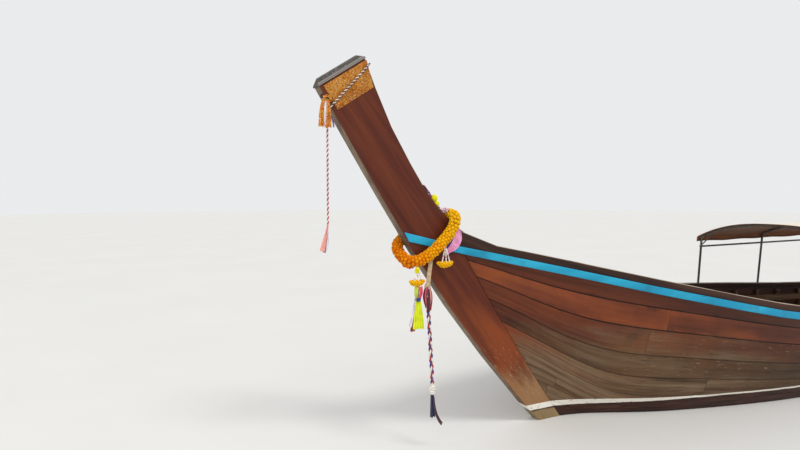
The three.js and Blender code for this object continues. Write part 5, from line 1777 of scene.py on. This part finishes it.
lashes = []
for x in ROOF_PIPES:
    for side in (-1, 1):
        for y in (0.955, 0.945, 0.62, 0.30):
            lashes.append(tube_mesh("lash", lashing(x, side * y), LINE_RADIUS, 6))
lashes = assemble("canopy_lashings", lashes, WHITE, 60, "hull", "canopy_cloth")
print("lashings", len(lashes.data.polygons), "faces")

# %% [markdown]
# ## Pipes, posts and other steel
# Old steel on a boat is never one colour. It is dull grey, with brown blooms of rust that
# gather where it is welded and where water runs down. A brace crosses each front corner
# of the canopy, from the post to the roof bow.

# %% Refine the pipes


def steel_finish(name, colour, rust, metal):
    """Dull steel with blooms of rust, which is no metal to the light."""
    f = Finish(name)
    place = f.place()
    patch = f.noise(place, 9, 5, 0.65)
    fine = f.noise(place, 90, 4, 0.6)
    rusty = f.step(patch + 0.3 * (fine - 0.5), 0.70 - 0.24 * rust, 0.80 - 0.24 * rust)
    bare = f.shade(rgb(colour), 0.75 + 0.4 * fine)
    brown = f.ramp(fine, (0.3, rgb("#2c160d")), (0.55, rgb("#562b17")), (0.75, rgb("#7a4524")))
    colour = f.mix(rusty * 0.9, bare, brown)
    return f.finish(colour, 0.38 + 0.3 * patch + 0.25 * rusty, patch + 0.5 * fine + 0.8 * rusty, 0.0009,
                    metal=metal * (1 - rusty))


PIPE = steel_finish("rusted_pipe", "#77736c", 0.55, 0.7)
for side_name in ("port", "starboard"):
    refined(f"canopy_side_{side_name}", 0, "hull", "steel", PIPE, flat=0.2, smooth=50)
for i in (1, 2, 3):
    refined(f"canopy_bow_{i}", 0, "hull", "steel", PIPE, flat=0.2, smooth=60)
braces = []
for side in (-1, 1):
    foot = Vector((0.650, side * 0.962, 1.385))
    crown = Vector((0.650, side * 0.800, roof_height(0.800) - 0.016))
    line = smooth_route([foot, foot.lerp(crown, 0.5) + Vector((0.0, 0, -0.004)), crown], 0.02)
    braces.append(tube_mesh("brace", line, 0.0075, 10))
assemble("canopy_braces", braces, PIPE, 60, "hull", "steel")
print("pipes refined and", len(braces), "braces added")

# %% [markdown]
# ## The open engine
# An old lorry engine sits on a cradle above the stern, with nothing over it, and turns and
# tilts on its post with the long tail. Everything on it has been oiled, painted black more
# than once, and has rusted in between. Cast iron is rough and dark, alloy is dull grey,
# and both carry greasy dirt in patches, which a slow noise can give.

# %% Refine the engine


def greasy(name, colour, other, metal, rough, grain):
    """Cast metal with worn paint: a rough skin, thin rust, and grease in patches."""
    f = Finish(name)
    place = f.place()
    patch = f.noise(place, 11, 5, 0.6)
    fine = f.noise(place, grain, 3, 0.6)
    worn = f.step(patch + 0.22 * (fine - 0.5), 0.56, 0.66)
    base = f.mix(worn, rgb(colour), rgb(other))
    grease = f.step(f.noise(place, 5, 4, 0.6), 0.46, 0.64)
    tone = f.mix(grease * 0.7, base, rgb("#15110d"))
    tone = f.shade(tone, 0.8 + 0.35 * fine)
    return f.finish(tone, rough + 0.25 * patch - 0.18 * grease, fine + 0.8 * patch, 0.0011,
                    metal=metal * (1 - 0.6 * grease))


IRON = greasy("greasy_iron", "#26262a", "#4a2b1c", 0.5, 0.5, 320)
ALLOY = greasy("dull_alloy", "#63666a", "#4b4841", 0.8, 0.42, 240)
SOOT = greasy("sooty_pipe", "#2c2421", "#7a4222", 0.4, 0.7, 200)
BLACK = greasy("black_paint", "#1b1c1e", "#50301f", 0.3, 0.4, 260)
FRAME_STEEL = steel_finish("mount_steel", "#4c4a48", 0.7, 0.7)
BRONZE = steel_finish("worn_bronze", "#a8823c", 0.05, 0.95)
ENGINE_PARTS = [
    # node, edge, body, slot, finish
    ("engine_beam", 5 * MM, "hull", "dark_wood", DARK),
    ("engine_post", 2 * MM, "hull", "steel", FRAME_STEEL),
    ("swivel_fork", 2 * MM, "swivel", "steel", FRAME_STEEL),
    ("engine_cradle", 2 * MM, "engine", "steel", FRAME_STEEL),
    ("engine_block", 5 * MM, "engine", "engine_iron", IRON),
    ("cylinder_head", 6 * MM, "engine", "engine_alloy", ALLOY),
    ("gearbox", 5 * MM, "engine", "engine_alloy", ALLOY),
    ("exhaust", 3 * MM, "engine", "engine_iron", SOOT),
    ("air_cleaner", 4 * MM, "engine", "black_paint", BLACK),
    ("belt_pulleys", 3 * MM, "engine", "steel", FRAME_STEEL),
    ("alternator", 4 * MM, "engine", "engine_alloy", ALLOY),
    ("tiller", 1.5 * MM, "engine", "steel", FRAME_STEEL),
    ("tail_tube", 2 * MM, "engine", "black_paint", BLACK),
    ("tail_fin", 1 * MM, "engine", "steel", FRAME_STEEL),
    ("propeller", 0.8 * MM, "propeller", "bronze", BRONZE),
]
for node, edge, body, slot_name, finish in ENGINE_PARTS:
    refined(node, edge, body, slot_name, finish, 3, flat=0.8, smooth=40, sharp=34)
print(len(ENGINE_PARTS), "engine parts refined")

# %% [markdown]
# ## Bolts on the engine
# Cast parts are held together by rows of bolts. One hexagon bolt with its washer is
# modelled, and copies are set round the flanges. They are placed in the engine's own
# frame, with the tilt axis at its origin, and turned with it.

# %% Model one bolt
TILT = Matrix.Translation((-3.8, 0, 1.13)) @ Matrix.Rotation(math.radians(-2.5), 4, "Y")


def on_engine(x, y, z):
    """A point in the engine's own frame, given in millimetres, as a place on the boat."""
    return TILT @ Vector((x * MM, y * MM, z * MM))


def bolt_model():
    """A hexagon head on a washer, about 1 across and pointing up."""
    bpy.ops.object.select_all(action="DESELECT")
    bpy.ops.mesh.primitive_cylinder_add(vertices=12, radius=0.72, depth=0.16, location=(0, 0, 0.08))
    washer = bpy.context.active_object
    bpy.ops.object.select_all(action="DESELECT")
    bpy.ops.mesh.primitive_cylinder_add(vertices=6, radius=0.56, depth=0.5, location=(0, 0, 0.40))
    hexagon = bpy.context.active_object
    bolt = join("bolt", [washer, hexagon])
    bpy.ops.object.transform_apply(location=True, rotation=True, scale=True)
    points = [vertex.co.copy() for vertex in bolt.data.vertices]
    faces = [tuple(polygon.vertices) for polygon in bolt.data.polygons]
    bpy.data.objects.remove(bolt)
    return points, faces, [1.0] * len(points)


BOLT = bolt_model()
print("a bolt has", len(BOLT[1]), "faces")

# %% [markdown]
# ## Rows and rings of bolts
# The head and its cover are bolted down in rows, the bell housing and the two pulleys in
# rings, and two more rows run along the cradle's rails. The bell housing's bolts stop
# where the cradle covers them. All the bolts are one piece.

# %% Bolt the engine together
BOLT_SIZE = 0.011
BELL_BOLTS = 14
BELL_RING = 132
COVERED_BELOW = 40
PULLEY_BOLTS = 5
up = TILT.to_3x3() @ Vector((0, 0, 1))
aft = TILT.to_3x3() @ Vector((-1, 0, 0))
fore = TILT.to_3x3() @ Vector((1, 0, 0))
bolt_places = []
for x in range(310, 780, 76):
    for y in (-79, 79):
        bolt_places.append((on_engine(x, y, 330), up))
for x in (330, 440, 550, 660, 745):
    for y in (-50, 50):
        bolt_places.append((on_engine(x, y, 385), up))
for k in range(BELL_BOLTS):
    a = 2 * math.pi * k / BELL_BOLTS
    y, z = BELL_RING * math.cos(a), 100 + BELL_RING * math.sin(a)
    if z > COVERED_BELOW:
        bolt_places.append((on_engine(262, y, z), aft))
for y in (-96, 96):
    for x in (-250, -120, 120, 380, 620, 800):
        bolt_places.append((on_engine(x, y, 22), up))
for k in range(PULLEY_BOLTS):
    a = 2 * math.pi * k / PULLEY_BOLTS
    bolt_places.append((on_engine(846, 34 * math.cos(a), 95 + 34 * math.sin(a)), fore))
    bolt_places.append((on_engine(846, 27 * math.cos(a), 240 + 27 * math.sin(a)), fore))
copies = []
for p, way in bolt_places:
    turn = way.to_track_quat("Z", "Y").to_matrix().to_4x4()
    copies.append((Matrix.Translation(p) @ turn @ Matrix.Scale(BOLT_SIZE, 4), 0.5))
bolts = wear(scatter("engine_bolts", BOLT, copies), FRAME_STEEL)
soften(bolts, 25)
fit(bolts, "engine", "steel")
print(len(bolt_places), "bolts")

# %% [markdown]
# ## The injection pump and its pipes
# The pump sits low on the starboard side and feeds one thin steel pipe to each of the four
# cylinders. Its body is three boxes with rounded edges, turned with the engine, and each
# pipe is a tube along a smooth line from its outlet over the edge of the head.

# %% Pump and pipes
CYLINDERS = 4
FIRST_OUTLET, OUTLET_PITCH = 385, 46
FIRST_PORT, PORT_PITCH = 345, 120
PUMP_BOXES = [
    # centre and size in the engine's millimetres
    ((455, -146, 150), (200, 38, 60)),
    ((355, -146, 150), (26, 46, 74)),
    ((560, -146, 150), (34, 42, 66)),
]
pump_pieces = []
for centre, size in PUMP_BOXES:
    bpy.ops.object.select_all(action="DESELECT")
    bpy.ops.mesh.primitive_cube_add(size=1, location=on_engine(*centre))
    block = bpy.context.active_object
    block.rotation_euler = TILT.to_euler()
    block.scale = [s * MM for s in size]
    bpy.ops.object.transform_apply(location=False, rotation=False, scale=True)
    bevel = block.modifiers.new("edges", "BEVEL")
    bevel.width = 5 * MM
    bevel.segments = 3
    pump_pieces.append(settle(block))
for i in range(CYLINDERS):
    x = FIRST_OUTLET + OUTLET_PITCH * i
    column = [on_engine(x, -146, z) for z in (178, 190, 200)]
    pump_pieces.append(tube_mesh("outlet", column, 0.010, 12))
assemble("injection_pump", pump_pieces, ALLOY, 35, "engine", "engine_alloy")
pipes = []
for i in range(CYLINDERS):
    x = FIRST_OUTLET + OUTLET_PITCH * i
    port = FIRST_PORT + PORT_PITCH * i
    route = [on_engine(x, -146, 196), on_engine(x, -146, 226), on_engine((x + port) / 2, -134, 258),
             on_engine(port, -112, 292), on_engine(port, -104, 336), on_engine(port, -80, 352),
             on_engine(port, -70, 340)]
    pipes.append(tube_mesh("pipe", smooth_route(route, 0.012), 0.0033, 8))
assemble("injection_pipes", pipes, FRAME_STEEL, 60, "engine", "steel")
print("pump with", len(pipes), "pipes")

# %% [markdown]
# ## Bands and ridges
# Steel bands hold the silencer and the air cleaner, the alternator's casing has raised
# rings, and the tiller's rubber grip has ridges. Each is a short tube that stands a
# little proud of what it goes round.

# %% Bands, rings and grip
GRIP_RIDGES = 9
ALONG = (on_engine(1, 0, 0) - on_engine(0, 0, 0)).normalized()


def hoop(p, way, half, radius, sides):
    """A short tube round a point, half to each side of it along a direction."""
    return tube_mesh("hoop", [p - way * half, p, p + way * half], radius, sides)


silencer_fore, silencer_aft = on_engine(40, 165, 392), on_engine(-330, 165, 560)
silencer_way = (silencer_aft - silencer_fore).normalized()
bands = []
for share in (0.06, 0.5, 0.94):
    bands.append(hoop(silencer_fore.lerp(silencer_aft, share), silencer_way, 0.008, 0.0545, 28))
for x in (612, 640, 668, 702, 730, 758):
    bands.append(hoop(on_engine(x, 196, 95), ALONG, 0.004, 0.0642, 26))
for x in (372, 525, 678):
    bands.append(hoop(on_engine(x, -185, 340), ALONG, 0.005, 0.0642, 28))
assemble("engine_bands", bands, FRAME_STEEL, 40, "engine", "steel")
grip_way = (on_engine(1540, 0, 222) - on_engine(1370, 0, 188)).normalized()
ridges = []
for i in range(GRIP_RIDGES):
    share = (i + 0.5) / GRIP_RIDGES
    p = on_engine(1376 + 158 * share, 0, 189.2 + 31.6 * share)
    ridges.append(hoop(p, grip_way, 0.006, 0.0232, 20))
assemble("tiller_grip_ridges", ridges, BLACK, 40, "engine", "black_paint")
print(len(bands), "bands and", len(ridges), "ridges")

# %% [markdown]
# ## The fuel can
# Fuel is carried in a blue plastic can on the floorboards. Moulded plastic has rounded
# edges, a faint orange-peel skin and scuffs, and the fuel's level shows as a darker part.

# %% Finish the fuel can


def plastic_finish():
    """Scuffed blue plastic, darker up to the level of the fuel."""
    f = Finish("blue_plastic")
    place = f.place()
    z = f.part(place, "Z")
    peel = f.noise(place, 220, 2)
    patch = f.noise(place, 12, 4, 0.6)
    blue = f.mix(f.step(z, 0.12, 0.16), rgb("#1d4678"), rgb("#2f66a5"))
    scuff = f.step(f.noise(f.vector(f.part(place, "X") * 30, z * 90, 1.0), 1, 4, 0.7), 0.62, 0.72)
    colour = f.mix(scuff * 0.5, f.shade(blue, 0.85 + 0.3 * patch), rgb("#8fb0d0"))
    return f.finish(colour, 0.42 + 0.2 * patch, peel, 0.0005)


refined("fuel_can", 16 * MM, "hull", "plastic", plastic_finish(), 4, flat=0.8, smooth=45)
print("fuel can done")

# %% [markdown]
# ## The floor
# The boat is afloat, so the studio's floor is at the waterline. It is a wide disc with a
# hole in the shape of the hull there, because the floorboards inside are a little lower
# than the water outside.

# %% Lay the floor round the hull
FLOOR_RADIUS = 60.0
FLOOR_INSIDE = 0.012
FLOOR_STEPS = 90


def floor_ring():
    """The outline of the hull at the waterline, a little inside the planks' outside."""
    port = []
    for i in range(FLOOR_STEPS + 1):
        row = station(i / FLOOR_STEPS)
        p = hull_point(row, girth_at(row, 0.0, FLOOR_INSIDE), FLOOR_INSIDE)
        port.append(Vector((p.x, p.y, 0.0)))
    return [Vector((port[-1].x + 0.2, 0, 0)), *reversed(port), *[Vector((p.x, -p.y, 0)) for p in port]]


ring = floor_ring()
bpy.ops.mesh.primitive_circle_add(vertices=len(ring), radius=FLOOR_RADIUS, fill_type="NOTHING")
floor = bpy.context.active_object
floor.name = "studio_floor"
shape = bmesh.new()
shape.from_mesh(floor.data)
outer = list(shape.verts)
inner = [shape.verts.new(p) for p in ring]
centre = Vector((0.2, 0, 0))
for i, vertex in enumerate(outer):
    p = ring[i] - centre
    turn = math.atan2(p.y, p.x)
    vertex.co = centre + Vector((math.cos(turn), math.sin(turn), 0)) * FLOOR_RADIUS
for i in range(len(ring)):
    k = (i + 1) % len(ring)
    shape.faces.new((outer[i], outer[k], inner[k], inner[i]))
shape.to_mesh(floor.data)
shape.free()
if floor.data.polygons[0].normal.z < 0:
    floor.data.flip_normals()


def floor_finish():
    """A plain pale floor."""
    f = Finish("studio_floor")
    patch = f.noise(f.place(), 0.6, 3)
    return f.finish(f.mix(patch, rgb("#d9d8d5"), rgb("#e0dfdc")), 0.8)


wear(floor, floor_finish())
print("floor laid round", len(ring), "points")

# %% [markdown]
# ## The light
# A wide soft sun stands high over the port side, a large lamp fills in from the beach, and
# a pale sky does the rest. Large soft lamps keep the shadows open, so that the dark wood
# still shows its grain.

# %% Light the studio
LAMP_COLOUR = (1.0, 0.98, 0.95)
world = bpy.data.worlds.new("studio")
bpy.context.scene.world = world
world.use_nodes = True
sky = world.node_tree.nodes["Background"]
sky.inputs["Color"].default_value = (0.96, 0.97, 0.98, 1)
sky.inputs["Strength"].default_value = 0.86


def lamp(name, kind, place, target, size, power):
    """A soft lamp that faces a target: an AREA of a size in metres, or a SUN of one in radians."""
    data = bpy.data.lights.new(name, kind)
    data.energy = power
    data.color = LAMP_COLOUR
    if kind == "SUN":
        data.angle = size
    else:
        data.size = size
    light = bpy.data.objects.new(name, data)
    bpy.context.scene.collection.objects.link(light)
    way = (Vector(target) - Vector(place)).to_track_quat("-Z", "Y").to_matrix().to_4x4()
    light.matrix_world = Matrix.Translation(Vector(place)) @ way


lamp("high_sun", "SUN", (0.0, 5.0, 9.0), (2.0, 0, 0.8), 0.30, 1.15)
lamp("beach_side", "AREA", (13.0, 8.0, 6.0), (4.0, 0, 0.9), 7.0, 220)
print("lights:", sorted(light.name for light in bpy.data.lights))
